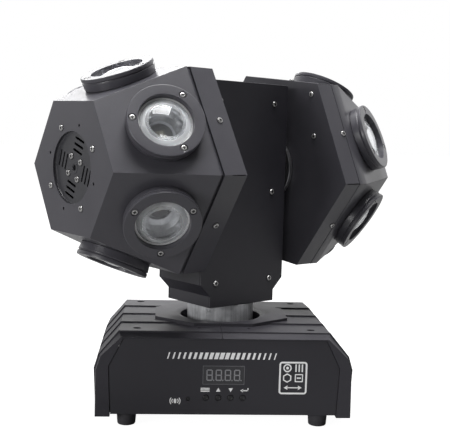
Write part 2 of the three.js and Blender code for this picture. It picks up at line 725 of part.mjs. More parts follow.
// Motors: a square can with cut corners, a pilot on its face and a bore for the hollow shaft.
function motor(name, length, matrix) {
  const half = MOTOR_WIDTH / 2;
  const side = half - MOTOR_CORNER;
  const outline = points(
    [half, -side],
    [half, side],
    [side, half],
    [-side, half],
    [-half, side],
    [-half, -side],
    [-side, -half],
    [side, -half],
  );
  const solid = cutBy(
    joined(
      prism(outline, -length, 0, matrix),
      rod(MOTOR_PILOT, -SHEET, MOTOR_PILOT_RISE, SMALL_SIDES, matrix),
    ),
    rod(MOTOR_BORE, -length - OVERRUN, MOTOR_PILOT_RISE + OVERRUN, SMALL_SIDES, matrix),
  );
  return meshOf(name, solid, MOTOR_BLACK);
}

const panMotorFace = PLATE_TOP + FIT + PAN_MOTOR_LENGTH;
const panMotor = () => motor("pan_motor", PAN_MOTOR_LENGTH, at(0, 0, panMotorFace));

// Pan tube: a turned cup on the motor's hollow shaft, open at the top under the yoke.
function panHub() {
  const floor = panMotorFace + MOTOR_PILOT_RISE + PAN_RUNNING_GAP;
  const top = YOKE_BOTTOM - FIT;
  return meshOf(
    "pan_hub",
    ringed(
      [
        [PAN_SHAFT_BORE, floor - PAN_SHAFT_LENGTH],
        [PAN_SHAFT_RADIUS, floor - PAN_SHAFT_LENGTH],
        [PAN_SHAFT_RADIUS, floor],
        [TUBE_FOOT_RADIUS, floor],
        [TUBE_FOOT_RADIUS, floor + TUBE_FOOT_HEIGHT],
        [TUBE_RADIUS, floor + TUBE_FOOT_HEIGHT],
        [TUBE_RADIUS, top],
        [TUBE_RADIUS - TUBE_WALL, top],
        [TUBE_RADIUS - TUBE_WALL, floor + TUBE_FLOOR],
        [PAN_SHAFT_BORE, floor + TUBE_FLOOR],
      ],
      TUBE_SIDES,
    ),
    PAN_GREY,
  );
}

// Yoke, in its own frame: X along the axis of the heads, the control side at -Y

function yokeOutline(inset) {
  const half = YOKE_WIDTH / 2 - inset;
  const neck = YOKE_WIDTH / 2 - YOKE_CHAMFER - inset;
  // Parallel to a 45 degree chamfer, an inset moves each of its ends along the upright wall.
  const slide = inset * Math.tan(Math.PI / 8);
  return mirrored(
    points(
      [neck, YOKE_BOTTOM + inset],
      [neck, YOKE_BOTTOM + YOKE_NECK + slide],
      [half, YOKE_BOTTOM + YOKE_NECK + YOKE_CHAMFER + slide],
      [half, YOKE_BOTTOM + YOKE_HEIGHT - inset],
    ),
  );
}

function yokeFrame() {
  const half = YOKE_DEPTH / 2 - SHEET - FIT;
  const strip = cutBy(
    prism(yokeOutline(0), -half, half, toFront),
    prism(yokeOutline(SHEET), SHEET - half, half - SHEET, toFront),
    prism(yokeOutline(YOKE_FLANGE), -half - OVERRUN, half + OVERRUN, toFront),
  );
  const reach = YOKE_WIDTH / 2 + OVERRUN;
  return meshOf(
    "yoke_frame",
    cutBy(
      strip,
      rod(YOKE_SHAFT_HOLE, -reach, reach, SMALL_SIDES, at(0, 0, HEAD_AXIS).multiply(toRight)),
      rod(YOKE_CABLE_HOLE, YOKE_BOTTOM - OVERRUN, YOKE_BOTTOM + OVERRUN, SMALL_SIDES),
    ),
    BLACK_STEEL,
  );
}

function yokeCovers() {
  const [from, to] = [YOKE_DEPTH / 2 - SHEET, YOKE_DEPTH / 2];
  return [
    meshOf("yoke_front_cover", prism(yokeOutline(0), from, to, toFront), BLACK_STEEL),
    meshOf("yoke_rear_cover", prism(yokeOutline(0), -to, -from, toFront), BLACK_STEEL),
  ];
}

// Heads, in their own frame: +Z outwards along the axis from the middle of the yoke

function headHousing(side) {
  const outer = HEAD_RADIUS * HEX_APOTHEM;
  const end = HEAD_END_RADIUS * HEX_APOTHEM;
  const under = outer - SHEET - FIT;
  const inner = under - SHEET;
  const start = HEAD_INNER + LID_DEPTHS[side] - SKIRT_LAP;
  const slope = Math.tan(FACET_TILT);
  const thick = SHEET / Math.cos(FACET_TILT);
  const turn = FOLD + (outer - thick - inner) / slope;
  const shell = cutBy(
    stack([
      { outline: hexagon(under), height: start },
      { outline: hexagon(under), height: FOLD - FLUSH_SKIRTS[side] },
      { outline: hexagon(outer), height: FOLD - FLUSH_SKIRTS[side] },
      { outline: hexagon(outer), height: FOLD },
      { outline: hexagon(end), height: HEAD_END },
    ]),
    stack([
      { outline: hexagon(inner), height: start - OVERRUN },
      { outline: hexagon(inner), height: turn },
      { outline: hexagon(end - thick + SHEET * slope), height: HEAD_END - SHEET },
    ]),
  );
  const holes = facetFrames().map((frame) => rod(FACET_HOLE, -SHEET - OVERRUN, OVERRUN, FOOT_SIDES, frame));
  const vent = rod(VENT_RADIUS, HEAD_END - SHEET - OVERRUN, HEAD_END + OVERRUN, CUP_SIDES);
  return meshOf(`head_housing_${side}`, cutBy(shell, vent, ...holes), BLACK_STEEL);
}

// Where each lens stands: the origin on the facet, +Z along its outward normal, +X towards the end.
function facetFrames() {
  const run = FACET_LENGTH * LENS_SHARE;
  const radius = HEAD_RADIUS * HEX_APOTHEM - run * Math.sin(FACET_TILT);
  const height = FOLD + run * Math.cos(FACET_TILT);
  return Array.from({ length: HEX }, (_, i) => {
    const about = ((i + 0.5) * 2 * Math.PI) / HEX;
    return new THREE.Matrix4()
      .makeRotationZ(about)
      .multiply(at(radius, 0, height))
      .multiply(new THREE.Matrix4().makeRotationY(-Math.PI / 2 - FACET_TILT + Math.PI))
      .multiply(new THREE.Matrix4().makeRotationZ(Math.PI));
  });
}

function headLid(side) {
  const outer = HEAD_RADIUS * HEX_APOTHEM;
  const end = HEAD_INNER + LID_DEPTHS[side];
  const pan = cutBy(
    prism(hexagon(outer), HEAD_INNER, end),
    prism(hexagon(outer - SHEET), HEAD_INNER + SHEET, end + OVERRUN),
    rod(LID_BORE, HEAD_INNER - OVERRUN, HEAD_INNER + OVERRUN, SMALL_SIDES),
  );
  const slit = (i) => {
    const height = LID_SLITS[side] + OVERRUN * (LID_SLITS[side] < LID_DEPTHS[side] ? 0 : 1);
    const reach = (SHEET + OVERRUN) * 2;
    const box = new THREE.BoxGeometry(reach, LID_SLIT_WIDTH, height);
    const spin = new THREE.Matrix4().makeRotationZ((i * 2 * Math.PI) / HEX);
    return solidOf(box, spin.multiply(at(HEAD_RADIUS, 0, HEAD_INNER + SHEET + height / 2)));
  };
  const slits = Array.from({ length: HEX }, (_, i) => slit(i));
  return meshOf(`head_lid_${side}`, cutBy(pan, ...slits), BLACK_STEEL);
}

// The hollow shaft runs through the motor, and its hub is screwed to the lid.
function tiltShaft(side) {
  const inner = YOKE_WIDTH / 2 - SHEET - FIT - TILT_MOTOR_LENGTH - SHEET;
  const wall = YOKE_WIDTH / 2;
  const hub = HEAD_INNER - FIT - HUB_THICK;
  return meshOf(
    `tilt_shaft_${side}`,
    ringed(
      [
        [SHAFT_BORE, inner],
        [SHAFT_RADIUS, inner],
        [SHAFT_RADIUS, wall + FIT + MOTOR_PILOT_RISE - SHEET],
        [HUB_NECK, wall + FIT + MOTOR_PILOT_RISE],
        [HUB_NECK, hub],
        [HUB_RADIUS, hub],
        [HUB_RADIUS, hub + HUB_THICK],
        [SHAFT_BORE, hub + HUB_THICK],
      ],
      SMALL_SIDES,
    ),
    ALUMINIUM,
  );
}

function lensRing(name, frame) {
  const bezel = RING_HEIGHT - BEZEL_THICK;
  const waist = bezel - WAIST_LENGTH;
  return meshOf(
    name,
    ringed(
      [
        [SEAT_RADIUS, FIT],
        [RING_RADIUS - RING_FOOT_CUT, FIT],
        [RING_RADIUS, waist],
        [RING_RADIUS - WAIST_CUT, bezel],
        [RING_RADIUS, bezel],
        [RING_RADIUS - RING_BEVEL, RING_HEIGHT],
        [RING_OPENING, RING_HEIGHT],
        [RING_OPENING, FIT + SEAT_DEPTH],
        [SEAT_RADIUS, FIT + SEAT_DEPTH],
      ],
      RING_SIDES,
      frame,
    ),
    BLACK_STEEL,
  );
}

// A plano-convex lens: its flange is held in the ring's seat, its dome stands in the opening.
function lens(name, frame) {
  const flange = SEAT_RADIUS - FIT;
  const low = FIT;
  const high = low + LENS_EDGE;
  const dome = Array.from({ length: DOME_STEPS }, (_, i) => {
    const share = i / DOME_STEPS;
    return [LENS_DOME * Math.cos((share * Math.PI) / 2), high + LENS_CROWN * Math.sin((share * Math.PI) / 2)];
  });
  return meshOf(
    name,
    turned([[0, low], [flange, low], [flange, high], ...dome, [0, high + LENS_CROWN]], RING_SIDES, frame),
    CLEAR,
  );
}

function endCup(side) {
  const floor = HEAD_END - VENT_DEPTH;
  const top = HEAD_END - SHEET - FIT;
  const wall = VENT_RADIUS + CUP_SHEET;
  const bore = AXLE_RADIUS + FIT;
  const cup = ringed(
    [
      [bore, floor],
      [VENT_RADIUS, floor],
      [VENT_RADIUS, top],
      [CUP_FLANGE, top],
      [CUP_FLANGE, top - CUP_SHEET],
      [wall, top - CUP_SHEET],
      [wall, floor - CUP_SHEET],
      [AXLE_BOSS, floor - CUP_SHEET],
      [AXLE_BOSS, floor - CUP_SHEET - AXLE_BOSS_LENGTH],
      [bore, floor - CUP_SHEET - AXLE_BOSS_LENGTH],
    ],
    CUP_SIDES,
  );
  const slots = [];
  for (let group = 0; group < SLOT_GROUPS; group += 1) {
    const spin = new THREE.Matrix4().makeRotationZ(radians(SLOT_TURN) + (group * 2 * Math.PI) / SLOT_GROUPS);
    for (let i = 0; i < SLOT_COUNT; i += 1) {
      const out = SLOT_CIRCLE + (i - (SLOT_COUNT - 1) / 2) * SLOT_PITCH;
      const box = new THREE.BoxGeometry(SLOT_WIDTH, SLOT_LENGTH, 2 * OVERRUN);
      slots.push(solidOf(box, spin.clone().multiply(at(out, 0, floor))));
    }
  }
  return meshOf(`end_cup_${side}`, cutBy(cup, ...slots), BLACK_STEEL);
}

function fanRotor(side) {
  const bossEnd = HEAD_END - VENT_DEPTH - CUP_SHEET - AXLE_BOSS_LENGTH;
  const top = bossEnd - FAN_GAP;
  const hub = turned(
    [
      [0, top - FAN_HUB_HEIGHT],
      [FAN_HUB, top - FAN_HUB_HEIGHT],
      [FAN_HUB, top],
      [AXLE_RADIUS, top],
      [AXLE_RADIUS, HEAD_END - VENT_DEPTH - CUP_SHEET],
      [0, HEAD_END - VENT_DEPTH - CUP_SHEET],
    ],
    SMALL_SIDES,
  );
  const blade = (i) => {
    const length = FAN_RADIUS - FAN_HUB + BLADE_ROOT;
    const box = new THREE.BoxGeometry(length, BLADE_THICK, BLADE_CHORD);
    const place = new THREE.Matrix4()
      .makeRotationZ((i * 2 * Math.PI) / FAN_BLADES)
      .multiply(at(FAN_RADIUS - length / 2, 0, top - FAN_HUB_HEIGHT / 2))
      .multiply(new THREE.Matrix4().makeRotationX(radians(BLADE_PITCH)));
    return solidOf(box, place);
  };
  const blades = Array.from({ length: FAN_BLADES }, (_, i) => blade(i));
  return meshOf(`fan_rotor_${side}`, joined(hub, ...blades), BLACK_PLASTIC);
}

// The core's faces run parallel to the facets; each carries an LED board and a reflector cup square
// behind its lens.
function lightCore(side) {
  const slope = Math.tan(FACET_TILT);
  const back = HEAD_INNER + SHEET + FIT;
  const base = HEAD_RADIUS * HEX_APOTHEM - CORE_INSET / Math.cos(FACET_TILT);
  const tip = base - CORE_DEPTH * slope;
  const wall = CORE_WALL / Math.cos(FACET_TILT);
  const block = cutBy(
    stack([
      { outline: hexagon(base + CORE_FLANGE), height: back },
      { outline: hexagon(base + CORE_FLANGE), height: back + SHEET },
      { outline: hexagon(base), height: back + SHEET },
      { outline: hexagon(base), height: FOLD },
      { outline: hexagon(tip), height: FOLD + CORE_DEPTH },
    ]),
    stack([
      { outline: hexagon(base - wall), height: back - OVERRUN },
      { outline: hexagon(base - wall), height: FOLD },
      { outline: hexagon(tip - wall + CORE_WALL * slope), height: FOLD + CORE_DEPTH - CORE_WALL },
    ]),
    rod(CORE_BORE, FOLD, FOLD + CORE_DEPTH + OVERRUN, SMALL_SIDES),
  );
  const stars = facetFrames().map((frame) =>
    turned(
      [
        [0, -CORE_INSET - STAR_SINK],
        [STAR_RADIUS, -CORE_INSET - STAR_SINK],
        [STAR_RADIUS, STAR_THICK - CORE_INSET],
        [CHIP_RADIUS, STAR_THICK - CORE_INSET],
        [CHIP_RADIUS, STAR_THICK + CHIP_HEIGHT - CORE_INSET],
        [0, STAR_THICK + CHIP_HEIGHT - CORE_INSET],
      ],
      PIN_SIDES,
      frame,
    ),
  );
  const [throat, mouth] = [STAR_THICK - STAR_SINK - CORE_INSET, -SHEET - FIT];
  const cups = facetFrames().map((frame) =>
    ringed(
      [
        [REFLECTOR_THROAT, throat],
        [REFLECTOR_THROAT + REFLECTOR_WALL, throat],
        [REFLECTOR_MOUTH + REFLECTOR_WALL, mouth],
        [REFLECTOR_MOUTH, mouth],
      ],
      PIN_SIDES,
      frame,
    ),
  );
  return meshOf(`light_core_${side}`, joined(block, ...stars, ...cups), ALUMINIUM);
}

function head(side) {
  const group = new THREE.Group();
  const frames = facetFrames();
  group.add(headHousing(side), headLid(side), tiltShaft(side), lightCore(side), endCup(side), fanRotor(side));
  frames.forEach((frame, i) => {
    group.add(lensRing(`lens_ring_${side}_${i + 1}`, frame), lens(`lens_${side}_${i + 1}`, frame));
  });
  group.rotation.z = radians(HEAD_TURNS[side]);
  return group;
}

// One side of the yoke: a motor inside the wall and the head that it turns.
function yokeSide(side) {
  const group = new THREE.Group();
  const outwards = new THREE.Group();
  outwards.quaternion.setFromRotationMatrix(toRight);
  const motorFace = at(0, 0, YOKE_WIDTH / 2 - SHEET - FIT);
  outwards.add(motor(`tilt_motor_${side}`, TILT_MOTOR_LENGTH, motorFace), head(side));
  group.add(outwards);
  group.position.z = HEAD_AXIS;
  group.rotation.z = side === "left" ? Math.PI : 0;
  return group;
}

const part = new THREE.Group();

const base = new THREE.Group();
base.add(...baseShells(), frontPanel(), rearPanel(), bottomPlate(), ...feet());
base.add(displayModule(), ...buttons(), powerInlet(), controlSocket("dmx_input"), controlSocket("dmx_output"));
base.add(panMotor());

const yoke = new THREE.Group();
yoke.add(panHub(), yokeFrame(), ...yokeCovers(), yokeSide("left"), yokeSide("right"));
yoke.rotation.z = radians(PAN_TURN);

part.add(base, yoke);

export default part;
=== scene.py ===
"""A rotating LED effect light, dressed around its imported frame: two hexagonal heads of six lenses on
a panning yoke, over a banded base with a control panel. Metres, +Z up, the control panel at -Y."""

import math

import bpy
from mathutils import Matrix, Vector


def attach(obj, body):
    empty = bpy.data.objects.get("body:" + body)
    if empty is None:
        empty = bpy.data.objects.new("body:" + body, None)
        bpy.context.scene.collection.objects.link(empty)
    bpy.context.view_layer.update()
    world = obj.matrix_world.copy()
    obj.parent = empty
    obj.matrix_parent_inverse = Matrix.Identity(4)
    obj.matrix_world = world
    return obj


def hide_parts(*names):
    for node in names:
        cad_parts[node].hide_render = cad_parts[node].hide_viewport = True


MM = 0.001
SIDES = ("left", "right")
HEX = 6

# Sizes of the model that its trim is set out from, in millimetres and degrees.
# A head is measured along its own axis, outwards from the pan axis.
PAN_TURN = 36.5  # from +X to the axis of the heads
HEAD_AXIS = 218.2  # above the floor
SPINS = {"left": -1.0, "right": 6.0}  # each head about its own axis
HEAD_INNER = 58.6  # face of the lid
FOLD = 86.0  # widest edge, where the tilted facets start
HEAD_END = 160.5  # face of the end plate
CORNER = math.cos(math.pi / HEX)  # middle of a flat to a corner, as radii of a hexagon
FOLD_APOTHEM = 97.5 * CORNER
END_APOTHEM = 61.2 * CORNER
TILT = math.atan2(FOLD_APOTHEM - END_APOTHEM, HEAD_END - FOLD)
SLANT = math.hypot(FOLD_APOTHEM - END_APOTHEM, HEAD_END - FOLD)
LENS_SHARE = 0.4  # centre of a lens along its facet
RING_FACE = 11.0  # above the facet
VENT_FLOOR = HEAD_END - 3.1
VENT_RADIUS = 29.0
YOKE_FACE = 30.4  # outside of a cover, from the pan axis
ROOF = 82.0  # above the floor
PANEL_FACE = 81.2  # from the pan axis, in front and behind
REAR_FLANGE = 83.5  # outside of the rear sockets' flanges

BODY_OF_HEAD = {side: f"head_{side}" for side in SIDES}


# --- selecting and placing


def pick(*objects):
    """Selects just these objects, the first one active."""
    bpy.ops.object.select_all(action="DESELECT")
    for obj in objects:
        obj.select_set(True)
    bpy.context.view_layer.objects.active = objects[0]


def editing(obj):
    """Edit mode with all the vertices selected."""
    pick(obj)
    bpy.ops.object.mode_set(mode="EDIT")
    bpy.ops.mesh.select_mode(type="VERT")
    bpy.ops.mesh.select_all(action="SELECT")


def done_editing():
    bpy.ops.object.mode_set(mode="OBJECT")


def only_points(obj, wanted):
    """Edit mode with just the vertices selected whose place, in millimetres, is wanted."""
    editing(obj)
    bpy.ops.mesh.select_all(action="DESELECT")
    done_editing()
    for vertex in obj.data.vertices:
        vertex.select = bool(wanted(vertex.co / MM))
    bpy.ops.object.mode_set(mode="EDIT")


def moved_points(obj, wanted, step):
    only_points(obj, wanted)
    bpy.ops.transform.translate(value=Vector(step) * MM)
    done_editing()
    return obj


def settle(obj):
    """Puts the object's own place, turn and scale into its mesh."""
    pick(obj)
    bpy.ops.object.transform_apply(location=True, rotation=True, scale=True)
    return obj


def smooth(obj, degrees=35):
    pick(obj)
    bpy.ops.object.shade_smooth_by_angle(angle=math.radians(degrees))
    return obj


def applied(obj, kind, **settings):
    """Puts a modifier on and applies it."""
    pick(obj)
    modifier = obj.modifiers.new(kind.lower(), kind)
    for key, value in settings.items():
        setattr(modifier, key, value)
    bpy.ops.object.modifier_apply(modifier=modifier.name)
    return obj


def evened(obj):
    """Keeps the flat faces beside a rounded edge flat to the light."""
    return applied(obj, "WEIGHTED_NORMAL", keep_sharp=True, weight=80)


def named(obj, name):
    obj.name = name
    obj.data.name = name
    return obj


def joined(name, *objects):
    pick(*objects)
    if len(objects) > 1:
        bpy.ops.object.join()
    return named(objects[0], name)


def copies(pattern, places, name):
    """One piece made of a copy of the pattern at each place."""
    made = []
    for place in places:
        obj = bpy.data.objects.new(name, pattern.data.copy())
        bpy.context.scene.collection.objects.link(obj)
        obj.data.transform(place)
        made.append(obj)
    return joined(name, *made)


def discard(*objects):
    for obj in objects:
        bpy.data.objects.remove(obj)


def finish_piece(obj, body, material, replaced=None):
    """Gives a piece its finish, the body it rides and the node that it stands for."""
    obj.data.materials.clear()
    obj.data.materials.append(material)
    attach(obj, body)
    if replaced:
        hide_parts(replaced)
    return obj


def at(x, y, z):
    return Matrix.Translation(Vector((x, y, z)) * MM)


def columns(x, y, z):
    """The turn that lays X, Y and Z along these three directions."""
    return Matrix((x, y, z)).transposed().to_4x4()


def spun(degrees, axis="Z"):
    return Matrix.Rotation(math.radians(degrees), 4, axis)


def around(radius, degrees, height=0.0):
    angle = math.radians(degrees)
    return at(radius * math.cos(angle), radius * math.sin(angle), height)


# --- frames of the object: a piece is made lying on XY and looks up +Z

YOKE = spun(PAN_TURN)
OUTWARDS = columns((0, 1, 0), (0, 0, 1), (1, 0, 0))
TO_FRONT = columns((1, 0, 0), (0, 0, 1), (0, -1, 0))
TO_REAR = columns((-1, 0, 0), (0, 0, 1), (0, 1, 0))
UPSIDE_DOWN = columns((1, 0, 0), (0, -1, 0), (0, 0, -1))


def head_place(side):
    """The origin on the pan axis, +Z outwards along the head's axis."""
    turn = 180 if side == "left" else 0
    return spun(PAN_TURN + turn) @ at(0, 0, HEAD_AXIS) @ OUTWARDS @ spun(SPINS[side])


def facet_place(index):
    """The origin on the facet's lens axis, +X towards the end plate, +Z outwards."""
    run = SLANT * LENS_SHARE
    radius = FOLD_APOTHEM - run * math.sin(TILT)
    height = FOLD + run * math.cos(TILT)
    basis = columns((-math.sin(TILT), 0, math.cos(TILT)), (0, -1, 0), (math.cos(TILT), 0, math.sin(TILT)))
    return spun((index + 0.5) * 360 / HEX) @ at(radius, 0, height) @ basis


# --- node groups and materials

# A Mix node's sockets: first, second and result, for numbers and for colours
MIX_NUMBERS = (2, 3, 0)
MIX_COLOURS = (6, 7, 2)


def linear(display):
    """Colour values as they show on a screen, 0 to 255, made linear."""
    return [((c / 255 + 0.055) / 1.055) ** 2.4 if c > 10 else c / 255 / 12.92 for c in display]


def new_group(name, inputs, outputs):
    tree = bpy.data.node_groups.new(name, "ShaderNodeTree")
    for label, kind, value in inputs:
        tree.interface.new_socket(name=label, in_out="INPUT", socket_type=kind).default_value = value
    for label, kind in outputs:
        tree.interface.new_socket(name=label, in_out="OUTPUT", socket_type=kind)
    return tree, tree.nodes.new("NodeGroupInput"), tree.nodes.new("NodeGroupOutput")


def grain_group():
    """Fine grain over soft stains: a colour between two, a roughness between two, and a height."""
    inputs = [
        ("Light", "NodeSocketColor", (0.1, 0.1, 0.1, 1)),
        ("Dark", "NodeSocketColor", (0.05, 0.05, 0.05, 1)),
        ("Grain Scale", "NodeSocketFloat", 900.0),
        ("Stain Scale", "NodeSocketFloat", 14.0),
        ("Stretch", "NodeSocketVector", (1.0, 1.0, 1.0)),
        ("Smooth", "NodeSocketFloat", 0.4),
        ("Rough", "NodeSocketFloat", 0.55),
    ]
    outputs = [("Color", "NodeSocketColor"), ("Roughness", "NodeSocketFloat"), ("Height", "NodeSocketFloat")]
    tree, given, out = new_group("fine_grain", inputs, outputs)
    nodes, links = tree.nodes, tree.links
    coord = nodes.new("ShaderNodeTexCoord")
    drawn = nodes.new("ShaderNodeVectorMath")
    drawn.operation = "MULTIPLY"
    links.new(coord.outputs["Object"], drawn.inputs[0])
    links.new(given.outputs["Stretch"], drawn.inputs[1])
    grain = nodes.new("ShaderNodeTexNoise")
    grain.inputs["Detail"].default_value = 2.0
    stain = nodes.new("ShaderNodeTexNoise")
    stain.inputs["Detail"].default_value = 5.0
    stain.inputs["Roughness"].default_value = 0.6
    links.new(drawn.outputs[0], grain.inputs["Vector"])
    links.new(coord.outputs["Object"], stain.inputs["Vector"])
    links.new(given.outputs["Grain Scale"], grain.inputs["Scale"])
    links.new(given.outputs["Stain Scale"], stain.inputs["Scale"])
    both = nodes.new("ShaderNodeMath")
    both.operation = "MULTIPLY_ADD"
    both.inputs[1].default_value = 0.35
    links.new(grain.outputs["Fac"], both.inputs[0])
    links.new(stain.outputs["Fac"], both.inputs[2])
    spread = nodes.new("ShaderNodeMapRange")
    spread.inputs["From Min"].default_value = 0.45
    spread.inputs["From Max"].default_value = 0.9
    links.new(both.outputs[0], spread.inputs["Value"])
    colour = nodes.new("ShaderNodeMix")
    colour.data_type = "RGBA"
    links.new(spread.outputs["Result"], colour.inputs["Factor"])
    first, second, result = MIX_COLOURS
    links.new(given.outputs["Dark"], colour.inputs[first])
    links.new(given.outputs["Light"], colour.inputs[second])
    links.new(colour.outputs[result], out.inputs["Color"])
    rough = nodes.new("ShaderNodeMapRange")
    links.new(spread.outputs["Result"], rough.inputs["Value"])
    links.new(given.outputs["Smooth"], rough.inputs["To Min"])
    links.new(given.outputs["Rough"], rough.inputs["To Max"])
    links.new(rough.outputs["Result"], out.inputs["Roughness"])
    links.new(grain.outputs["Fac"], out.inputs["Height"])
    return tree


GRAIN = grain_group()


def grained(
    name, dark, light, rough, scale, bump, stains=14.0, stretch=(1, 1, 1), height=0.2, **shader_values
):
    """A material of the fine grain: its colours in display values, its roughness as a pair."""
    material = bpy.data.materials.new(name)
    material.use_nodes = True
    nodes, links = material.node_tree.nodes, material.node_tree.links
    shader = nodes["Principled BSDF"]
    for key, value in shader_values.items():
        shader.inputs[key.replace("_", " ")].default_value = value
    group = nodes.new("ShaderNodeGroup")
    group.node_tree = GRAIN
    group.inputs["Dark"].default_value = (*linear(dark), 1)
    group.inputs["Light"].default_value = (*linear(light), 1)
    group.inputs["Grain Scale"].default_value = scale
    group.inputs["Stain Scale"].default_value = stains
    group.inputs["Stretch"].default_value = stretch
    group.inputs["Smooth"].default_value, group.inputs["Rough"].default_value = rough
    relief = nodes.new("ShaderNodeBump")
    relief.inputs["Strength"].default_value = bump
    relief.inputs["Distance"].default_value = height * MM
    links.new(group.outputs["Color"], shader.inputs["Base Color"])
    links.new(group.outputs["Roughness"], shader.inputs["Roughness"])
    links.new(group.outputs["Height"], relief.inputs["Height"])
    links.new(relief.outputs["Normal"], shader.inputs["Normal"])
    return material


# A thin clear layer that brightens a surface seen nearly edge-on
CLEAR_COAT = {"Coat_Weight": 0.3, "Coat_Roughness": 0.25, "Specular_IOR_Level": 0.35}

COAT = grained("powder_coat", (66, 65, 71), (77, 76, 82), (0.32, 0.44), 1500, 0.08, **CLEAR_COAT)
# A darker copy of the housings' powder coat: painted shade on the yoke, which stands in the heads' shadow.
SHADED_YOKE_COAT = grained("yoke_coat_painted_shade", (45, 44, 50), (55, 54, 60), (0.34, 0.46), 1500, 0.08)
RING_COAT = grained("ring_coat", (66, 65, 71), (77, 76, 82), (0.3, 0.42), 1300, 0.08, **CLEAR_COAT)
# Darker than the housings' powder coat: painted shade in the vent cup's recess.
SHADED_CUP_COAT = grained("cup_coat_painted_shade", (52, 52, 56), (64, 64, 68), (0.28, 0.4), 1400, 0.14)
PLASTIC = grained(
    "moulded_plastic", (53, 52, 57), (64, 63, 68), (0.4, 0.52), 1100, 0.05, Specular_IOR_Level=0.2
)
PANEL = grained("panel_paint", (37, 36, 42), (44, 43, 49), (0.42, 0.52), 1600, 0.12)
SOCKET = grained("socket_plastic", (26, 26, 28), (36, 36, 39), (0.34, 0.48), 1200, 0.12)
RUBBER = grained("foot_rubber", (58, 57, 61), (74, 73, 77), (0.7, 0.85), 700, 0.3, Specular_IOR_Level=0.3)
TURNED = grained("turned_metal", (150, 150, 153), (176, 176, 179), (0.3, 0.42), 500, 0.1, Metallic=0.9)
TUBE_GREY = grained(
    "pan_tube_grey", (106, 107, 110), (212, 213, 216), (0.24, 0.38), 520, 0.1, 45.0, (1, 1, 0.03),
    Metallic=0.2,
)
MOTOR = grained("motor_black", (28, 28, 30), (40, 40, 43), (0.35, 0.5), 900, 0.15, Metallic=0.5)
BOARD = grained("board_green", (18, 58, 34), (26, 74, 44), (0.35, 0.5), 600, 0.1)
NICKEL = grained("screw_nickel", (178, 177, 177), (208, 207, 206), (0.24, 0.34), 2500, 0.05, Metallic=0.75)
ZINC = grained("screw_black_zinc", (40, 40, 43), (56, 56, 60), (0.28, 0.4), 2500, 0.05, Metallic=0.6)
# Near-black for the floor of each screw's cross recess and for the thin rings under proud screw heads:
# painted shade.
PAINTED_SHADE = grained("painted_screw_shade", (10, 10, 11), (18, 18, 19), (0.5, 0.6), 2500, 0.05)
CONTACT = grained("contact_metal", (198, 192, 176), (224, 218, 204), (0.2, 0.32), 900, 0.04, Metallic=0.9)
MIRROR = grained(
    "reflector_mirror", (170, 171, 174), (232, 233, 235), (0.12, 0.24), 260, 0.1, 60.0, height=0.4,
    Metallic=0.75,
)
PHOSPHOR = grained("led_phosphor", (138, 136, 126), (156, 154, 142), (0.4, 0.5), 3000, 0.1)
STAR_BOARD = grained("led_board", (122, 122, 124), (146, 146, 148), (0.35, 0.5), 900, 0.1)
FLANGE = grained("lens_flange", (186, 187, 188), (246, 246, 247), (0.22, 0.4), 900, 0.12)
PRINT = grained("panel_print", (244, 244, 244), (254, 254, 254), (0.45, 0.6), 1800, 0.03)
FADED = grained("window_edge", (84, 84, 88), (104, 104, 108), (0.4, 0.5), 1800, 0.03)
WINDOW = grained("display_window", (44, 44, 48), (50, 50, 54), (0.1, 0.16), 200, 0.02)
SEGMENT = grained("display_segment", (128, 128, 132), (148, 148, 152), (0.35, 0.45), 1500, 0.03)


GLASS_IOR = 1.49


def lens_material(name, rough, scale, bump, through=1.0):
    """Moulded glass: a plain transmission, with a roughness and a relief that vary a little."""
    material = grained(name, (248, 250, 252), (253, 254, 255), rough, scale, bump, 40.0, height=0.1)
    shader = material.node_tree.nodes["Principled BSDF"]
    shader.inputs["Transmission Weight"].default_value = through
    shader.inputs["IOR"].default_value = GLASS_IOR
    return material


LENS = lens_material("lens_glass", (0.01, 0.035), 260, 0.02)
FROSTED = lens_material("frosted_glass", (0.42, 0.6), 900, 0.2, 0.6)
HALF_FROSTED = lens_material("half_frosted_glass", (0.12, 0.24), 900, 0.15, 0.85)


# --- making pieces


def outline(name, profile, closed):
    """An edge path in the XZ plane, extruded vertex by vertex from a plane merged to a point."""
    bpy.ops.object.select_all(action="DESELECT")
    bpy.ops.mesh.primitive_plane_add(size=MM)
    obj = bpy.context.active_object
    obj.name = name
    editing(obj)
    bpy.ops.mesh.merge(type="CENTER")
    bpy.ops.transform.translate(value=Vector((profile[0][0], 0, profile[0][1])) * MM)
    path = list(profile) + ([profile[0]] if closed else [])
    for (x0, z0), (x1, z1) in zip(path, path[1:]):
        step = Vector((x1 - x0, 0, z1 - z0)) * MM
        bpy.ops.mesh.extrude_region_move(TRANSFORM_OT_translate={"value": step})
    return obj


def turned(name, profile, steps=72, closed=True, degrees=32, sweep=360.0):
    """A profile spun about Z: closed for a ring, open from axis to axis for a solid."""
    obj = outline(name, profile, closed)
    bpy.ops.mesh.select_all(action="SELECT")
    bpy.ops.mesh.remove_doubles(threshold=0.00001)
    if sweep < 360.0:
        bpy.ops.mesh.edge_face_add()
    bpy.ops.mesh.spin(steps=steps, angle=math.radians(sweep), center=(0, 0, 0), axis=(0, 0, 1))
    bpy.ops.mesh.select_all(action="SELECT")
    bpy.ops.mesh.remove_doubles(threshold=0.00001)
    bpy.ops.mesh.normals_make_consistent(inside=False)
    done_editing()
    return evened(smooth(obj, degrees))


def cylinder(name, radius, low, high, sides=24):
    """A round or many-sided block about Z."""
    bpy.ops.object.select_all(action="DESELECT")
    bpy.ops.mesh.primitive_cylinder_add(
        vertices=sides, radius=radius * MM, depth=(high - low) * MM, location=(0, 0, (low + high) / 2 * MM)
    )
    return settle(named(bpy.context.active_object, name))


def cuboid(name, width, depth, height, z=0.0):
    """A block about Z, its middle at z."""
    bpy.ops.object.select_all(action="DESELECT")
    bpy.ops.mesh.primitive_cube_add(size=MM, location=(0, 0, z * MM))
    obj = named(bpy.context.active_object, name)
    obj.scale = (width, depth, height)
    return settle(obj)


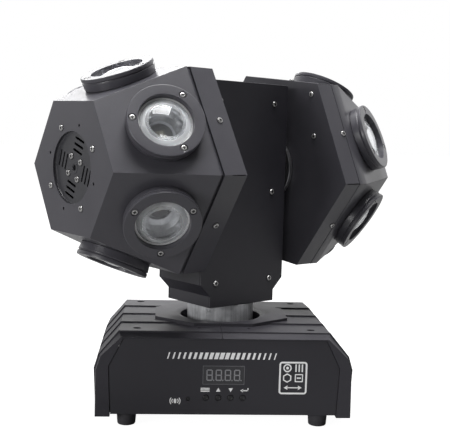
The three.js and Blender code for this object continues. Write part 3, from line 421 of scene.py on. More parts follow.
def plate(name, width, height, thick, corner=0.0, x=0.0, y=0.0):
    """A flat plate on XY with rounded corners, from z = 0 up."""
    bpy.ops.object.select_all(action="DESELECT")
    bpy.ops.mesh.primitive_plane_add(size=MM, location=Vector((x, y, 0)) * MM)
    obj = named(bpy.context.active_object, name)
    obj.scale = (width, height, 1)
    settle(obj)
    editing(obj)
    if corner:
        bpy.ops.mesh.bevel(offset=corner * MM, segments=6, affect="VERTICES")
        bpy.ops.mesh.select_all(action="SELECT")
    bpy.ops.mesh.extrude_region_move(TRANSFORM_OT_translate={"value": (0, 0, thick * MM)})
    bpy.ops.mesh.select_all(action="SELECT")
    bpy.ops.mesh.normals_make_consistent(inside=False)
    done_editing()
    return obj


ROUNDED_FROM = math.radians(33)


def rounded(obj, width):
    """Rounds the edges that are sharp enough to be folds or corners, not steps of a curve."""
    applied(obj, "BEVEL", width=width * MM, segments=2, limit_method="ANGLE", angle_limit=ROUNDED_FROM)
    return evened(smooth(obj, 50))


def cut(obj, cutter):
    """Takes the cutter out of the piece, and off the scene."""
    applied(obj, "BOOLEAN", operation="DIFFERENCE", solver="EXACT", object=cutter)
    discard(cutter)
    return obj


def dressed(node, width, cutter=None):
    """A copy of a node's mesh with its doubles merged, its small holes cut and its edges rounded."""
    obj = bpy.data.objects.new(f"{node}_body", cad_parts[node].data.copy())
    bpy.context.scene.collection.objects.link(obj)
    editing(obj)
    bpy.ops.mesh.remove_doubles(threshold=0.000002)
    bpy.ops.mesh.dissolve_limited(angle_limit=math.radians(0.5))
    done_editing()
    if cutter:
        cut(obj, cutter)
    return rounded(obj, width)


def dome(radius, low, rise, steps):
    """Points of a spherical cap from its edge up to the axis."""
    ball = (radius**2 + rise**2) / (2 * rise)
    reach = math.asin(radius / ball)
    points = []
    for i in range(steps + 1):
        angle = reach * (1 - i / steps)
        points.append((ball * math.sin(angle), low + rise - ball * (1 - math.cos(angle))))
    return points


# --- start

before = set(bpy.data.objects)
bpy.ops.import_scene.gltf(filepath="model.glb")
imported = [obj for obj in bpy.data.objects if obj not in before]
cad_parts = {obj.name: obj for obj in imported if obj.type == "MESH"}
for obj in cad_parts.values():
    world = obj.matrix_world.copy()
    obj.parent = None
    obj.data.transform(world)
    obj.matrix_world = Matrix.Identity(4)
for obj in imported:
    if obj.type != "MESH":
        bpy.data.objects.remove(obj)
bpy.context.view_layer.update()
HEAD = {side: head_place(side) for side in SIDES}
FACETS = [facet_place(i) for i in range(HEX)]


# --- screws

SCREW_RADIUS = 2.45
SCREW_RISE = 1.2  # seat to crown
RECESS_LENGTH = 3.0
RECESS_WIDTH = 1.2
RECESS_FLOOR = 0.25  # above the seat
RECESS_GAP = 0.04  # between the recess's wall and its dark floor piece


def cross(name, length, width, low, high):
    """A cross-shaped block for the recess of a screw."""
    first = cuboid(name, length, width, high - low, z=(low + high) / 2)
    second = cuboid(name, width, length, high - low, z=(low + high) / 2)
    applied(first, "BOOLEAN", operation="UNION", solver="EXACT", object=second)
    discard(second)
    return first


def screw_head():
    """A rounded head with a cross recess, its seat at z = 0."""
    r, h = SCREW_RADIUS, SCREW_RISE
    profile = [
        (0, -0.5), (r * 0.5, -0.5), (r * 0.5, 0), (r - 0.15, 0), (r, 0.15), (r * 0.98, h * 0.5),
        (r * 0.86, h * 0.83), (r * 0.66, h * 0.97), (r * 0.4, h), (0, h),
    ]
    obj = turned("screw_head", profile, 24, closed=False)
    return smooth(cut(obj, cross("recess", RECESS_LENGTH, RECESS_WIDTH, RECESS_FLOOR, h + 1)), 32)


def painted_screw_shade():
    """The dark floor of the cross recess, a little under the rim: painted shade in the recess."""
    length, width = RECESS_LENGTH - 2 * RECESS_GAP, RECESS_WIDTH - 2 * RECESS_GAP
    return rounded(cross("painted_screw_shade", length, width, RECESS_FLOOR + 0.02, SCREW_RISE - 0.3), 0.05)


screw_form = screw_head()
recess_shade_form = painted_screw_shade()
# A thin near-black washer ring under a proud screw head: painted shade round its foot.
shade_washer_form = turned("shade_washer_form", [(2.3, -0.3), (3.0, -0.3), (3.0, 0.12), (2.9, 0.2), (2.3, 0.2)], 24)


def fit_screws(name, places, body, metal=NICKEL, shade_washers=False):
    """A screw at each place, as one piece of heads, one of dark recess floors and at times one of dark washer
    rings; the dark floors and rings are painted shade, in the recess and round the head's foot.
    """
    finish_piece(copies(screw_form, places, f"{name}_screws"), body, metal)
    if shade_washers:
        finish_piece(copies(shade_washer_form, places, f"{name}_washers"), body, PAINTED_SHADE)
    finish_piece(copies(recess_shade_form, places, f"{name}_recess_shades"), body, PAINTED_SHADE)


LID_SCREWS = [(-43.3, 74.2), (-52.4, 37.0), (43.3, -74.2), (52.4, -37.0)]
BAND_SCREW_AT = {"left": 69.0, "right": 74.0}
RING_SCREW_SEAT = RING_FACE - SCREW_RISE - 0.1
RING_SCREWS = [around(26.2, -15 + 120 * k) for k in range(3)]
END_CIRCLE = 35.4
END_SCREWS = [around(END_CIRCLE, 27.5 + 90 * k, HEAD_END) for k in range(4)]
FAN_SCREWS = [around(10.3, 27 + 90 * k, VENT_FLOOR) for k in range(4)]

for side in SIDES:
    place, body = HEAD[side], BODY_OF_HEAD[side]
    seats = [screw @ at(0, 0, RING_SCREW_SEAT) for screw in RING_SCREWS]
    fit_screws(f"ring_{side}", [place @ facet @ seat for facet in FACETS for seat in seats], body)
    fit_screws(f"end_{side}", [place @ screw for screw in END_SCREWS + FAN_SCREWS], body, shade_washers=True)
    across_band = at(FOLD_APOTHEM, 0, BAND_SCREW_AT[side]) @ columns((0, 0, 1), (0, -1, 0), (1, 0, 0))
    band_spots = [place @ spun((k + 0.5) * 360 / HEX) @ across_band for k in range(HEX)]
    fit_screws(f"band_{side}", band_spots, body, shade_washers=True)
    lid_spots = [place @ at(x, y, HEAD_INNER) @ UPSIDE_DOWN for x, y in LID_SCREWS]
    fit_screws(f"lid_{side}", lid_spots, body, shade_washers=True)


# --- lens rings, lenses, reflectors and LEDs

RING_STEPS = 96
RING_PROFILE = [
    (24.2, 0.3), (29.9, 0.3), (30.15, 0.55), (30.85, 6.1), (30.7, 6.5), (30.1, 6.85), (29.95, 7.2),
    (30.1, 7.55), (30.7, 7.85), (30.9, 8.2), (30.9, 10.2), (30.75, 10.65), (30.4, 10.92), (30.0, RING_FACE),
    (22.5, RING_FACE), (22.15, 10.85), (22.0, 10.5), (22.0, 6.1), (24.2, 6.1),
]
ring_form = turned("ring_form", RING_PROFILE, RING_STEPS)
counterbore = cylinder("counterbore", 3.05, RING_SCREW_SEAT, RING_FACE + 2, 40)
cut(ring_form, copies(counterbore, RING_SCREWS, "counterbores"))
evened(smooth(ring_form, 14))

LENS_DOME = (19.8, 5.1, 5.2)
LENS_FOOT = [(0, 0.3), (23.7, 0.3), (23.9, 0.5), (23.9, 4.9), (23.7, 5.1)]
lens_form = turned("lens_form", LENS_FOOT + dome(*LENS_DOME, 12), RING_STEPS, closed=False, degrees=28)


def lens_band(name, first, last):
    """A thin band laid over the dome between two of its steps."""
    points = dome(*LENS_DOME, 24)[first:last]
    shell = [(r + 0.06, z + 0.08) for r, z in points] + [(r - 0.06, z - 0.08) for r, z in reversed(points)]
    return turned(name, shell, RING_STEPS)


edge_form = lens_band("edge_form", 0, 6)
inner_edge_form = lens_band("inner_edge_form", 5, 9)
FLANGE_PROFILE = [(20.2, 5.12), (21.9, 5.12), (21.9, 5.34), (21.7, 5.42), (20.4, 5.42), (20.2, 5.34)]
flange_form = turned("flange_form", FLANGE_PROFILE, RING_STEPS)


def reflector_profile():
    """A deep cup from the facet's underside to the LED, in shallow steps that ring the light."""
    inside = [(20.6, -1.9), (20.3, -2.2)]
    levels = [
        (20.0, -2.6), (18.9, -4.6), (17.4, -6.8), (15.5, -8.9), (13.2, -10.6), (10.6, -11.8), (7.8, -12.3)
    ]
    for (r0, z0), (r1, z1) in zip(levels, levels[1:]):
        inside += [(r0, z0), ((r0 + r1) / 2 + 0.12, (z0 + z1) / 2 - 0.22)]
    inside.append(levels[-1])
    outside = [(9.4, -12.75), (14.0, -11.3), (18.4, -7.2), (21.4, -2.4), (21.5, -1.9)]
    return inside + outside


reflector_form = turned("reflector_form", reflector_profile(), 72, degrees=14)
STAR_PROFILE = [
    (0, -14.4), (9.9, -14.4), (10.1, -14.2), (10.1, -12.5),
    (9.9, -12.32), (4.6, -12.32), (4.5, -12.1), (0, -12.1),
]
star_form = turned("star_form", STAR_PROFILE, 48, closed=False)
led_form = joined(
    "led_form",
    rounded(plate("led_package", 5.2, 5.2, 1.8, 0.6), 0.15),
    turned("led_dome", [(0, 1.5), (2.3, 1.5)] + dome(2.3, 1.8, 1.4, 6), 32, closed=False),
)
led_form.data.transform(at(0, 0, -12.2))

CORE_INSET = 14.0
CORE_REACH = FOLD_APOTHEM - CORE_INSET / math.cos(TILT)
CORE_DEPTH = 44.0
CORE_BACK = HEAD_INNER + 1.8
CORE_WALL = 4.0
CORE_BORE = 9.0
CORE_FLANGE = 6.8
CORE_FLANGE_THICK = 1.5


def core_profile():
    """Half a section through the light core's flats: flanged behind, tapered in front."""
    tip = CORE_REACH - CORE_DEPTH * math.tan(TILT)
    front = FOLD + CORE_DEPTH
    rim = CORE_REACH + CORE_FLANGE
    inner = CORE_REACH - CORE_WALL
    levels = [
        (rim, CORE_BACK), (rim, CORE_BACK + CORE_FLANGE_THICK), (CORE_REACH, CORE_BACK + CORE_FLANGE_THICK),
        (CORE_REACH, FOLD), (tip, front), (CORE_BORE, front), (CORE_BORE, front - CORE_WALL),
        (tip - CORE_WALL, front - CORE_WALL), (inner, FOLD), (inner, CORE_BACK),
    ]
    return [(apothem / CORNER, height) for apothem, height in levels]


core_form = rounded(turned("core_form", core_profile(), HEX, degrees=20), 0.4)

for side in SIDES:
    place, body = HEAD[side], BODY_OF_HEAD[side]
    spots = [place @ facet for facet in FACETS]
    for n, spot in enumerate(spots, 1):
        ring = copies(ring_form, [spot], f"bezel_{side}_{n}")
        finish_piece(ring, body, RING_COAT, f"lens_ring_{side}_{n}")
        glass = copies(lens_form, [spot], f"glass_{side}_{n}")
        glass.visible_shadow = False
        finish_piece(glass, body, LENS, f"lens_{side}_{n}")
    flanges = finish_piece(copies(flange_form, spots, f"flanges_{side}"), body, FLANGE)
    flanges.visible_shadow = False
    for form, name, frost in ((edge_form, "edges", FROSTED), (inner_edge_form, "inner_edges", HALF_FROSTED)):
        band = finish_piece(copies(form, spots, f"frosted_{name}_{side}"), body, frost)
        band.visible_shadow = False
    core = copies(core_form, [place], f"core_{side}")
    finish_piece(core, body, TURNED, f"light_core_{side}")
    finish_piece(copies(star_form, spots, f"led_boards_{side}"), body, STAR_BOARD)
    finish_piece(copies(reflector_form, spots, f"reflectors_{side}"), body, MIRROR)
    finish_piece(copies(led_form, spots, f"leds_{side}"), body, PHOSPHOR)
discard(ring_form, counterbore, lens_form, edge_form, inner_edge_form, flange_form)
discard(reflector_form, star_form, led_form, core_form)


# --- shells, vent cups, fans and hubs of the heads

EMPTY_HOLE = 1.25
CUP_STEPS = 120
SLOT_TURN = -18
SLOT_CIRCLE = 18.6
SLOT_PITCH = 5.0
CUP_PROFILE = [
    (2.3, VENT_FLOOR), (3.0, VENT_FLOOR), (3.2, VENT_FLOOR + 0.35), (4.6, VENT_FLOOR + 0.35),
    (4.9, VENT_FLOOR), (27.8, VENT_FLOOR), (28.5, VENT_FLOOR + 0.2), (28.9, VENT_FLOOR + 0.7),
    (VENT_RADIUS, VENT_FLOOR + 1.3),
    (VENT_RADIUS, 158.7), (38.0, 158.7), (38.0, 157.5), (30.2, 157.5), (30.0, 156.6), (29.2, 156.2),
    (4.4, 156.2), (4.4, 151.2), (2.3, 151.2),
]
cup_form = turned("cup_form", CUP_PROFILE, CUP_STEPS)
slot = plate("slot", 2.0, 14.0, 8.0, 0.95)
slots = [
    spun(SLOT_TURN + 90 * group) @ at(SLOT_CIRCLE + SLOT_PITCH * step, 0, VENT_FLOOR - 4)
    for group in range(4)
    for step in (-1, 0, 1)
]
cut(cup_form, copies(slot, slots, "slots"))
applied(cup_form, "BEVEL", width=0.3 * MM, segments=2, limit_method="ANGLE", angle_limit=math.radians(60))
evened(smooth(cup_form, 32))

HUB_PROFILE = [
    (3.4, 11.5), (6.0, 11.5), (6.0, 49.4), (10.0, 50.9), (10.0, 54.1), (10.3, 54.3),
    (29.7, 54.3), (30.0, 54.6), (30.0, 58.0), (29.7, 58.3), (3.4, 58.3),
]
hub_form = turned("hub_form", HUB_PROFILE, 72)

for side in SIDES:
    place, body = HEAD[side], BODY_OF_HEAD[side]
    hole = cylinder("hole", EMPTY_HOLE, HEAD_END - 1.55, HEAD_END + 2, 16)
    vent = cylinder("vent", VENT_RADIUS + 0.15, HEAD_END - 1.6, HEAD_END + 2, CUP_STEPS)
    cutter = joined(
        "end_cutter",
        copies(hole, [place @ around(END_CIRCLE, -17.5 + 90 * k) for k in range(4)], "holes"),
        copies(vent, [place], "vent"),
    )
    discard(hole, vent)
    housing = dressed(f"head_housing_{side}", 0.45, cutter)
    finish_piece(housing, body, COAT, f"head_housing_{side}")
    finish_piece(dressed(f"head_lid_{side}", 0.4), body, COAT, f"head_lid_{side}")
    # The vent cup's darker coat is painted shade in its recess.
    cup = copies(cup_form, [place], f"vent_cup_{side}")
    finish_piece(cup, body, SHADED_CUP_COAT, f"end_cup_{side}")
    hub = copies(hub_form, [place], f"hub_{side}")
    finish_piece(hub, body, TURNED, f"tilt_shaft_{side}")
    fan = dressed(f"fan_rotor_{side}", 0.25)
    finish_piece(fan, f"fan_{side}", SOCKET, f"fan_rotor_{side}")
    motor = dressed(f"tilt_motor_{side}", 0.5)
    finish_piece(motor, "pan_assembly", MOTOR, f"tilt_motor_{side}")
discard(cup_form, hub_form, slot)


# --- yoke and pan tube

# The yoke's darker coat is painted shade from the heads beside it.
for node in ("yoke_frame", "yoke_front_cover", "yoke_rear_cover"):
    finish_piece(dressed(node, 0.4), "pan_assembly", SHADED_YOKE_COAT, node)

COVER_SCREWS = [(x, z) for x in (-32.0, 32.0) for z in (118.0, 197.7, 277.3)]
for name, way in (("front", TO_FRONT), ("rear", TO_REAR)):
    spots = [YOKE @ way @ at(x, z, YOKE_FACE) for x, z in COVER_SCREWS]
    fit_screws(f"yoke_{name}", spots, "pan_assembly", shade_washers=True)

TUBE_PROFILE = [
    (3.4, 26.2), (6.0, 26.2), (6.0, 56.2), (33.2, 56.2), (33.5, 56.5), (33.5, 61.9), (33.2, 62.2),
    (30.5, 62.2), (30.5, 95.7), (30.2, 96.1), (27.8, 96.1), (27.5, 95.7), (27.5, 60.2), (3.4, 60.2),
]
pan_tube = turned("pan_tube", TUBE_PROFILE, 120)
finish_piece(pan_tube, "pan_assembly", TUBE_GREY, "pan_hub")
finish_piece(dressed("pan_motor", 0.5), "base", MOTOR, "pan_motor")


# --- base shells

ROOF_DOTS = [at(x, y, 0) for x in (-21.5, 21.5) for y in (-57.0, 57.0)]
ROOF_SINKS = [at(x, y, 0) for x in (-75, 75) for y in (-62, 62)]
SINK_FLOOR = ROOF - 4.3
BORE_PROFILE = [
    (0, 69), (36.9, 69), (36.9, 82.2), (37.3, 82.6), (42.8, 84.02), (43.1, 84.3), (43.1, 87), (0, 87)
]


def roof_cutter():
    """Everything round that is cut in the roof: moulding dots, sunk screws and the pan tube's way."""
    dot = cylinder("dot", 1.5, ROOF - 4, ROOF + 3, 20)
    sink = cylinder("sink", 3.5, SINK_FLOOR, ROOF + 3, 32)
    bore = turned("bore", BORE_PROFILE, 96, closed=False)
    dots = copies(dot, ROOF_DOTS, "dots")
    sinks = copies(sink, ROOF_SINKS, "sinks")
    discard(dot, sink)
    return joined("roof_cutter", dots, sinks, bore)


for side in SIDES:
    shell = dressed(f"base_shell_{side}", 0.5, roof_cutter())
    finish_piece(shell, "base", PLASTIC, f"base_shell_{side}")
fit_screws("roof", [sink @ at(0, 0, SINK_FLOOR) for sink in ROOF_SINKS], "base", ZINC)


# --- panels, display and buttons

# Places on a panel are measured across from the pan axis and up from the floor
BUTTONS = {"menu": -15.6, "up": -5.2, "down": 5.2, "enter": 15.6}
BUTTON_ROW = 26.8
MIC_AT = (-30.7, 25.6)
DISPLAY_AT = (-1.0, 46.3)
WINDOW_WIDTH = 34.4
WINDOW_HEIGHT = 15.1
EDGE_STROKE = 0.75
FRONT = TO_FRONT @ at(0, 0, PANEL_FACE)
REAR = TO_REAR @ at(0, 0, PANEL_FACE)
PRINT_THICK = 0.06

button_hole = cylinder("hole", 2.7, -3, 3, 32)
mic_hole = cylinder("hole", 1.9, -3, 3, 24)
holes = joined(
    "holes",
    copies(button_hole, [FRONT @ at(x, BUTTON_ROW, 0) for x in BUTTONS.values()], "button_holes"),
    copies(mic_hole, [FRONT @ at(*MIC_AT, 0)], "mic_holes"),
)
discard(button_hole, mic_hole)
finish_piece(dressed("front_panel", 0.25, holes), "base", PANEL, "front_panel")
finish_piece(dressed("rear_panel", 0.25), "base", PANEL, "rear_panel")

BUTTON_PROFILE = [
    (0, -4.4), (2.3, -4.4), (2.3, -3.0), (3.2, -3.0), (3.2, -1.8), (2.3, -1.8), (2.3, 0.2),
    (2.2, 0.42), (1.95, 0.56), (1.5, 0.6), (1.35, 0.5), (0.9, 0.42), (0, 0.4),
]
button_form = turned("button_form", BUTTON_PROFILE, 40, closed=False)
for name, x in BUTTONS.items():
    cap = copies(button_form, [FRONT @ at(x, BUTTON_ROW, 0)], f"{name}_cap")
    finish_piece(cap, f"{name}_button_body", SOCKET, f"{name}_button")
discard(button_form)

MIC_PROFILE = [(0, -1.7), (1.75, -1.7), (1.75, -0.75), (1.5, -0.6), (1.1, -0.6), (0.9, -0.8), (0, -0.8)]
mic_form = turned("mic_form", MIC_PROFILE, 32, closed=False)
finish_piece(copies(mic_form, [FRONT @ at(*MIC_AT, 0)], "microphone"), "base", SOCKET)
discard(mic_form)

window = rounded(plate("window", WINDOW_WIDTH, WINDOW_HEIGHT, 0.5, 0.4), 0.12)
window.data.transform(at(0, 0, -0.35))
finish_piece(copies(window, [FRONT @ at(*DISPLAY_AT, 0)], "display_window"), "base", WINDOW)
discard(window)


def border(name, width, height, stroke, corner, thick):
    """A flat rectangular frame with rounded corners."""
    inner = plate("inner", width - 2 * stroke, height - 2 * stroke, 4 * thick, max(corner - stroke, 0.05))
    inner.data.transform(at(0, 0, -thick))
    return cut(plate(name, width, height, thick, corner), inner)


edge = border("edge", WINDOW_WIDTH + 1.0, WINDOW_HEIGHT + 1.1, EDGE_STROKE, 0.5, 0.12)
finish_piece(copies(edge, [FRONT @ at(*DISPLAY_AT, 0)], "display_edge"), "base", FADED)
discard(edge)

# Four digits of seven bars and a point each
DIGIT_WIDTH = 5.4
DIGIT_HEIGHT = 9.8
DIGIT_PITCH = 7.75
STROKE = 1.0
SEGMENT_FOOT = 0.15
SEGMENT_FACE = 0.27


def display_digits():
    reach = (DIGIT_HEIGHT - STROKE) / 4
    segment = cylinder("segment", STROKE * 0.56, SEGMENT_FOOT, SEGMENT_FACE, 6)
    moved_points(segment, lambda co: co.y > 0.1, (0, reach - STROKE * 0.62, 0))
    moved_points(segment, lambda co: co.y < -0.1, (0, STROKE * 0.62 - reach, 0))
    half = (DIGIT_WIDTH - STROKE) / 2
    spots = [at(x, y, 0) for x in (-half, half) for y in (-reach, reach)]
    spots += [at(0, y, 0) @ spun(90) for y in (-2 * reach, 0, 2 * reach)]
    digit = copies(segment, spots, "digit")
    point = rounded(cylinder("point", 0.6, SEGMENT_FOOT, SEGMENT_FACE, 16), 0.04)
    point.data.transform(at(3.5, -2 * reach, 0))
    digit = joined("digit", digit, point)
    row = [FRONT @ at(DISPLAY_AT[0] + (i - 1.5) * DIGIT_PITCH - 0.3, DISPLAY_AT[1], 0) for i in range(4)]
    digits = copies(digit, row, "display_digits")
    discard(segment, digit)
    return digits


finish_piece(display_digits(), "base", SEGMENT)


# --- print on the panels: plain marks, one for each place


def bar(width, height, x=0.0, y=0.0, lean=0.0):
    """An upright or level bar whose upper end may lean to the right."""
    obj = plate("bar", width, height, PRINT_THICK, 0.0, x, y)
    if lean:
        moved_points(obj, lambda co: co.y > y, (lean, 0, 0))
    return obj


def ring_mark(radius, stroke, x=0.0, y=0.0, sweep=360.0, start=0.0):
    """A ring, or with a smaller sweep an arc that runs clockwise from its start."""
    section = [(radius - stroke, 0), (radius, 0), (radius, PRINT_THICK), (radius - stroke, PRINT_THICK)]
    obj = turned("ring_mark", section, 32, sweep=sweep)
    obj.data.transform(at(x, y, 0) @ spun(start))
    return obj


def triangle(size, x=0.0, y=0.0, turn=0.0):
    """An arrowhead that points up unless it is turned."""
    obj = cylinder("triangle", size, 0, PRINT_THICK, 3)
    obj.data.transform(at(x, y, 0) @ spun(turn))
    return obj


STRIPES = 21
STRIPE_PITCH = 4.5
STRIPES_AT = (-3.5, 62.8)
MARK_ROW = 33.6


def stripes():
    """A row of slanted bars that thin out to both ends."""
    marks = []
    middle = (STRIPES - 1) / 2
    for i in range(STRIPES):
        width = 3.5 - 2.5 * abs(i / middle - 1)
        marks.append(bar(width, 5.6, STRIPES_AT[0] + (i - middle) * STRIPE_PITCH, STRIPES_AT[1], 1.6))
    return marks


def button_marks():
    """Three lines, two arrowheads and a bent arrow, one over each button."""
    menu = [bar(7.6, 0.8, BUTTONS["menu"] - 0.8, MARK_ROW + step) for step in (-1.3, 0, 1.3)]
    up = [triangle(2.2, BUTTONS["up"], MARK_ROW - 0.4)]
    down = [triangle(2.2, BUTTONS["down"], MARK_ROW + 0.4, 180)]
    x = BUTTONS["enter"] + 1.2
    enter = [bar(5.4, 0.9, x + 0.9, MARK_ROW - 0.5), bar(0.9, 2.6, x + 3.15, MARK_ROW + 0.35)]
    enter.append(triangle(1.7, x - 1.9, MARK_ROW - 0.5, 90))
    return menu + up + down + enter


def mic_mark(x, y):
    """A capsule with two waves on either side."""
    waves = [ring_mark(radius, 0.7, x, y, 80, start + 40) for radius in (3.0, 4.6) for start in (0, 180)]
    return [plate("capsule", 2.2, 4.0, PRINT_THICK, 1.05, x, y)] + waves


def boxed_marks(x, y):
    """A rounded frame round a ring, three bars, a hexagon, a square and a double arrow."""
    left, right, upper, lower = x - 5, x + 5, y + 8.6, y - 8.4
    frame_mark = border("frame_mark", 24.0, 28.2, 1.5, 2.6, PRINT_THICK)
    frame_mark.data.transform(at(x, y, 0))
    square = border("square", 7.0, 7.0, 0.9, 0.6, PRINT_THICK)
    square.data.transform(at(right, y, 0))
    hexagon = cylinder("hexagon", 4.1, 0, PRINT_THICK, 6)
    hexagon = cut(hexagon, cylinder("inner", 2.9, -1, 1, 6))
    hexagon.data.transform(at(left, y, 0))
    marks = [frame_mark, square, hexagon, ring_mark(3.6, 1.1, left, upper)]
    marks += [plate("dot", 2.4, 2.4, PRINT_THICK, 1.15, left, upper)]
    marks += [bar(1.2, 6.6, right + step, upper) for step in (-2.7, 0, 2.7)]
    marks += [bar(3.6, 1.2, right, y)]
    marks += [bar(10.0, 0.9, x, lower), triangle(2.2, x - 5.6, lower, 90), triangle(2.2, x + 5.6, lower, -90)]
    return marks


MIC_MARK_AT = (-41.5, 23.8)
BOX_AT = (58.0, 44.4)
front_marks = stripes() + button_marks() + mic_mark(*MIC_MARK_AT) + boxed_marks(*BOX_AT)
front_print = joined("front_marks", *front_marks)
front_print.data.transform(FRONT)
finish_piece(front_print, "base", PRINT)

# The sockets stand on the left of the panel as it is seen from behind
INLET_X = -50.0
SOCKETS = {"dmx_input": 6.0, "dmx_output": 42.0}
SOCKET_Z = 42.0


def rear_marks():
    """An arrow into one socket, one out of the other, and a wave over the mains inlet."""
    marks = []
    for x, way in ((-SOCKETS["dmx_input"], 180), (-SOCKETS["dmx_output"], 0)):
        marks += [bar(0.8, 3.4, x, 63.4), triangle(1.5, x, 63.4 + (2.0 if way == 0 else -2.0), way)]
    x = -INLET_X
    marks += [ring_mark(1.6, 0.6, x - 1.3, 59.6, 180, 0), ring_mark(1.6, 0.6, x + 1.3, 59.6, 180, 180)]
    return marks


rear_print = joined("rear_marks", *rear_marks())
rear_print.data.transform(REAR)
finish_piece(rear_print, "base", PRINT)


# --- sockets in the rear panel

for node in ("power_inlet", "dmx_input", "dmx_output"):
    finish_piece(dressed(node, 0.25), "base", SOCKET, node)

# Metal sleeves over the moulded pins
blade = rounded(cuboid("blade", 2.1, 4.1, 10.0, z=5.0), 0.35)
blade_floor = TO_REAR @ at(-INLET_X, SOCKET_Z, REAR_FLANGE - 13.9)
blades = copies(blade, [blade_floor @ at(x, y, 0) for x, y in ((-7, 0), (0, 2), (7, 0))], "inlet_blades")
finish_piece(blades, "base", CONTACT)
PIN_PROFILE = [(0, 0), (1.25, 0), (1.25, 9.9), (1.1, 10.5), (0.7, 10.9), (0, 11.05)]
pin = turned("pin", PIN_PROFILE, 24, closed=False)
pin_floor = TO_REAR @ at(-SOCKETS["dmx_input"], SOCKET_Z, REAR_FLANGE - 15.0)
pins = copies(pin, [pin_floor @ around(4.0, angle) for angle in (0, 90, 180)], "input_pins")
finish_piece(pins, "base", CONTACT)
latch = rounded(plate("latch", 5.6, 3.2, 1.5, 0.7), 0.3)
latch_place = TO_REAR @ at(-SOCKETS["dmx_output"], SOCKET_Z + 12.6, REAR_FLANGE - 0.2)
finish_piece(copies(latch, [latch_place], "release_tab"), "base", CONTACT)
discard(blade, pin, latch)

flange_spots = [(-INLET_X + step, SOCKET_Z) for step in (-16.7, 16.7)]
for x in SOCKETS.values():
    flange_spots += [(-x - 9.6, SOCKET_Z + 12.2), (-x + 9.6, SOCKET_Z - 12.2)]
fit_screws("socket", [TO_REAR @ at(x, z, REAR_FLANGE) for x, z in flange_spots], "base", ZINC)


# --- floor plate and feet

finish_piece(dressed("bottom_plate", 0.3), "base", COAT, "bottom_plate")

FOOT_SINK = 5.0
FOOT_PROFILE = [
    (0, FOOT_SINK), (3.0, FOOT_SINK), (3.0, 0.5), (3.3, 0.1), (3.7, 0), (6.6, 0), (7.3, 0.3), (7.7, 0.95),
    (7.95, 4.0), (8.1, 5.6), (7.9, 6.0), (8.15, 6.4), (8.4, 10.9), (8.2, 11.5), (0, 11.5),
]
foot_form = turned("foot_form", FOOT_PROFILE, 64, closed=False)
FEET = {
    f"{row}_{side}": at(x, y, 0)
    for row, y in (("front", -67.5), ("rear", 67.5))
    for side, x in zip(SIDES, (-82.5, 82.5))
}
for name, place in FEET.items():
    foot = copies(foot_form, [place], f"rubber_foot_{name}")
    finish_piece(foot, "base", RUBBER, f"foot_{name}")
fit_screws("foot", [place @ at(0, 0, FOOT_SINK) @ UPSIDE_DOWN for place in FEET.values()], "base", ZINC)
discard(foot_form, screw_form, recess_shade_form, shade_washer_form)

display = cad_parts["display_module"]
display.data.materials.clear()
display.data.materials.append(BOARD)


# --- camera, floor and light

CAMERA_AT = Vector((-55.1, -795.9, 243.4)) * MM
LOOK_RIGHT = 3.99
LOOK_DOWN = 5.33
CAMERA_ROLL = 1.64
FOCAL_PIXELS = 867.95
PICTURE = (450, 444)  # pixels
CENTRE = (223.09, 221.37)  # where the lens axis meets the picture


def add_camera():
    """The photograph's camera: in front, a little above and to the left."""
    data = bpy.data.cameras.new("camera")
    data.sensor_width = 36
    data.sensor_fit = "HORIZONTAL"
    data.lens = FOCAL_PIXELS / PICTURE[0] * data.sensor_width
    data.shift_x = (PICTURE[0] / 2 - CENTRE[0]) / PICTURE[0]
    data.shift_y = (CENTRE[1] - PICTURE[1] / 2) / PICTURE[0]
    data.clip_start = 0.01
    obj = bpy.data.objects.new("camera", data)
    bpy.context.scene.collection.objects.link(obj)
    turn = spun(-LOOK_RIGHT) @ spun(90 - LOOK_DOWN, "X") @ spun(CAMERA_ROLL)
    obj.matrix_world = Matrix.Translation(CAMERA_AT) @ turn
    bpy.context.scene.camera = obj


def mixed(nodes, links, factor, low, high):
    """A number between two, each a value or a socket."""
    node = nodes.new("ShaderNodeMix")
    links.new(factor, node.inputs["Factor"])
    first, second, result = MIX_NUMBERS
    for place, value in ((first, low), (second, high)):
        if isinstance(value, float):
            node.inputs[place].default_value = value
        else:
            links.new(value, node.inputs[place])
    return node.outputs[result]


def greater(nodes, links, first, second):
    """The greater of two sockets' numbers."""
    node = nodes.new("ShaderNodeMath")
    node.operation = "MAXIMUM"
    links.new(first, node.inputs[0])
    links.new(second, node.inputs[1])
    return node.outputs[0]


# How bright the floor and the room are to the camera, to gloss, to glass and to plain surfaces
FLOOR_TONE = 0.25
FLOOR_SEEN = 0.97
FLOOR_IN_GLOSS = 0.15
ROOM_IN_GLOSS = 0.05
ROOM_IN_GLASS = 0.16
ROOM_LIGHT = 0.12


def add_floor():
    """A pale floor that keeps the shadow and meets the white behind it."""
    bpy.ops.mesh.primitive_plane_add(size=40)
    floor = bpy.context.active_object
    floor.name = "floor"
    material = bpy.data.materials.new("floor_white")
    material.use_nodes = True
    nodes, links = material.node_tree.nodes, material.node_tree.links
    shader = nodes["Principled BSDF"]
    shader.inputs["Base Color"].default_value = (FLOOR_TONE, FLOOR_TONE, FLOOR_TONE, 1)
    shader.inputs["Roughness"].default_value = 0.9
    shader.inputs["Specular IOR Level"].default_value = 0.1
    shader.inputs["Emission Color"].default_value = (1, 1, 1, 1)
    path = nodes.new("ShaderNodeLightPath")
    glossy = mixed(nodes, links, path.outputs["Is Glossy Ray"], 0.0, FLOOR_IN_GLOSS)
    glow = mixed(nodes, links, path.outputs["Is Camera Ray"], glossy, FLOOR_SEEN)
    links.new(glow, shader.inputs["Emission Strength"])
    floor.data.materials.append(material)


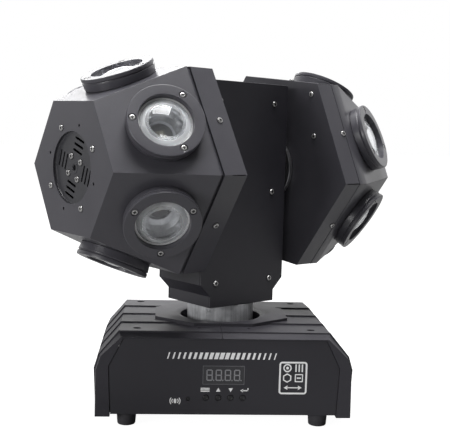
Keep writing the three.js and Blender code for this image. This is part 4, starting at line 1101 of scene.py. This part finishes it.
def add_world():
    """White where the camera looks; metal and glass see it behind and above, and a dark room in front."""
    world = bpy.data.worlds.new("studio")
    bpy.context.scene.world = world
    world.use_nodes = True
    nodes, links = world.node_tree.nodes, world.node_tree.links
    nodes.clear()
    out = nodes.new("ShaderNodeOutputWorld")
    level = nodes.new("ShaderNodeBackground")
    level.inputs["Color"].default_value = (1, 1, 1, 1)
    path = nodes.new("ShaderNodeLightPath")
    coord = nodes.new("ShaderNodeTexCoord")
    parts = nodes.new("ShaderNodeSeparateXYZ")
    links.new(coord.outputs["Generated"], parts.inputs[0])

    def ramp(axis, low, high):
        node = nodes.new("ShaderNodeMapRange")
        node.interpolation_type = "SMOOTHSTEP"
        node.inputs["From Min"].default_value = low
        node.inputs["From Max"].default_value = high
        links.new(parts.outputs[axis], node.inputs["Value"])
        return node.outputs["Result"]

    room = greater(nodes, links, ramp("Y", -0.3, 0.7), ramp("Z", 0.7, 1.0))
    glossy = mixed(nodes, links, room, ROOM_IN_GLOSS, 1.0)
    through = mixed(nodes, links, room, ROOM_IN_GLASS, 1.0)
    bounced = mixed(nodes, links, path.outputs["Is Glossy Ray"], ROOM_LIGHT, glossy)
    lit = mixed(nodes, links, path.outputs["Is Transmission Ray"], bounced, through)
    seen = mixed(nodes, links, path.outputs["Is Camera Ray"], lit, 1.0)
    links.new(seen, level.inputs["Strength"])
    links.new(level.outputs[0], out.inputs["Surface"])


def add_lamp(name, place, aim, size, power):
    """A soft lamp at a place, turned to what it lights, in metres and watts."""
    data = bpy.data.lights.new(name, "AREA")
    data.shape = "RECTANGLE"
    data.size, data.size_y = size
    data.energy = power
    obj = bpy.data.objects.new(name, data)
    bpy.context.scene.collection.objects.link(obj)
    obj.location = place
    obj.rotation_euler = (Vector(aim) - Vector(place)).to_track_quat("-Z", "Y").to_euler()


add_camera()
add_floor()
add_world()
add_lamp("key", (-1.70, -1.31, 0.46), (0, 0, 0.2), (0.9, 0.6), 22)
add_lamp("top", (0.1, 0.0, 2.0), (0, 0, 0.15), (1.5, 1.0), 60)
add_lamp("back", (-0.45, 2.05, 1.24), (-0.1, 0, 0.25), (1.3, 0.3), 7)

scene = bpy.context.scene
scene.view_settings.view_transform = "Standard"
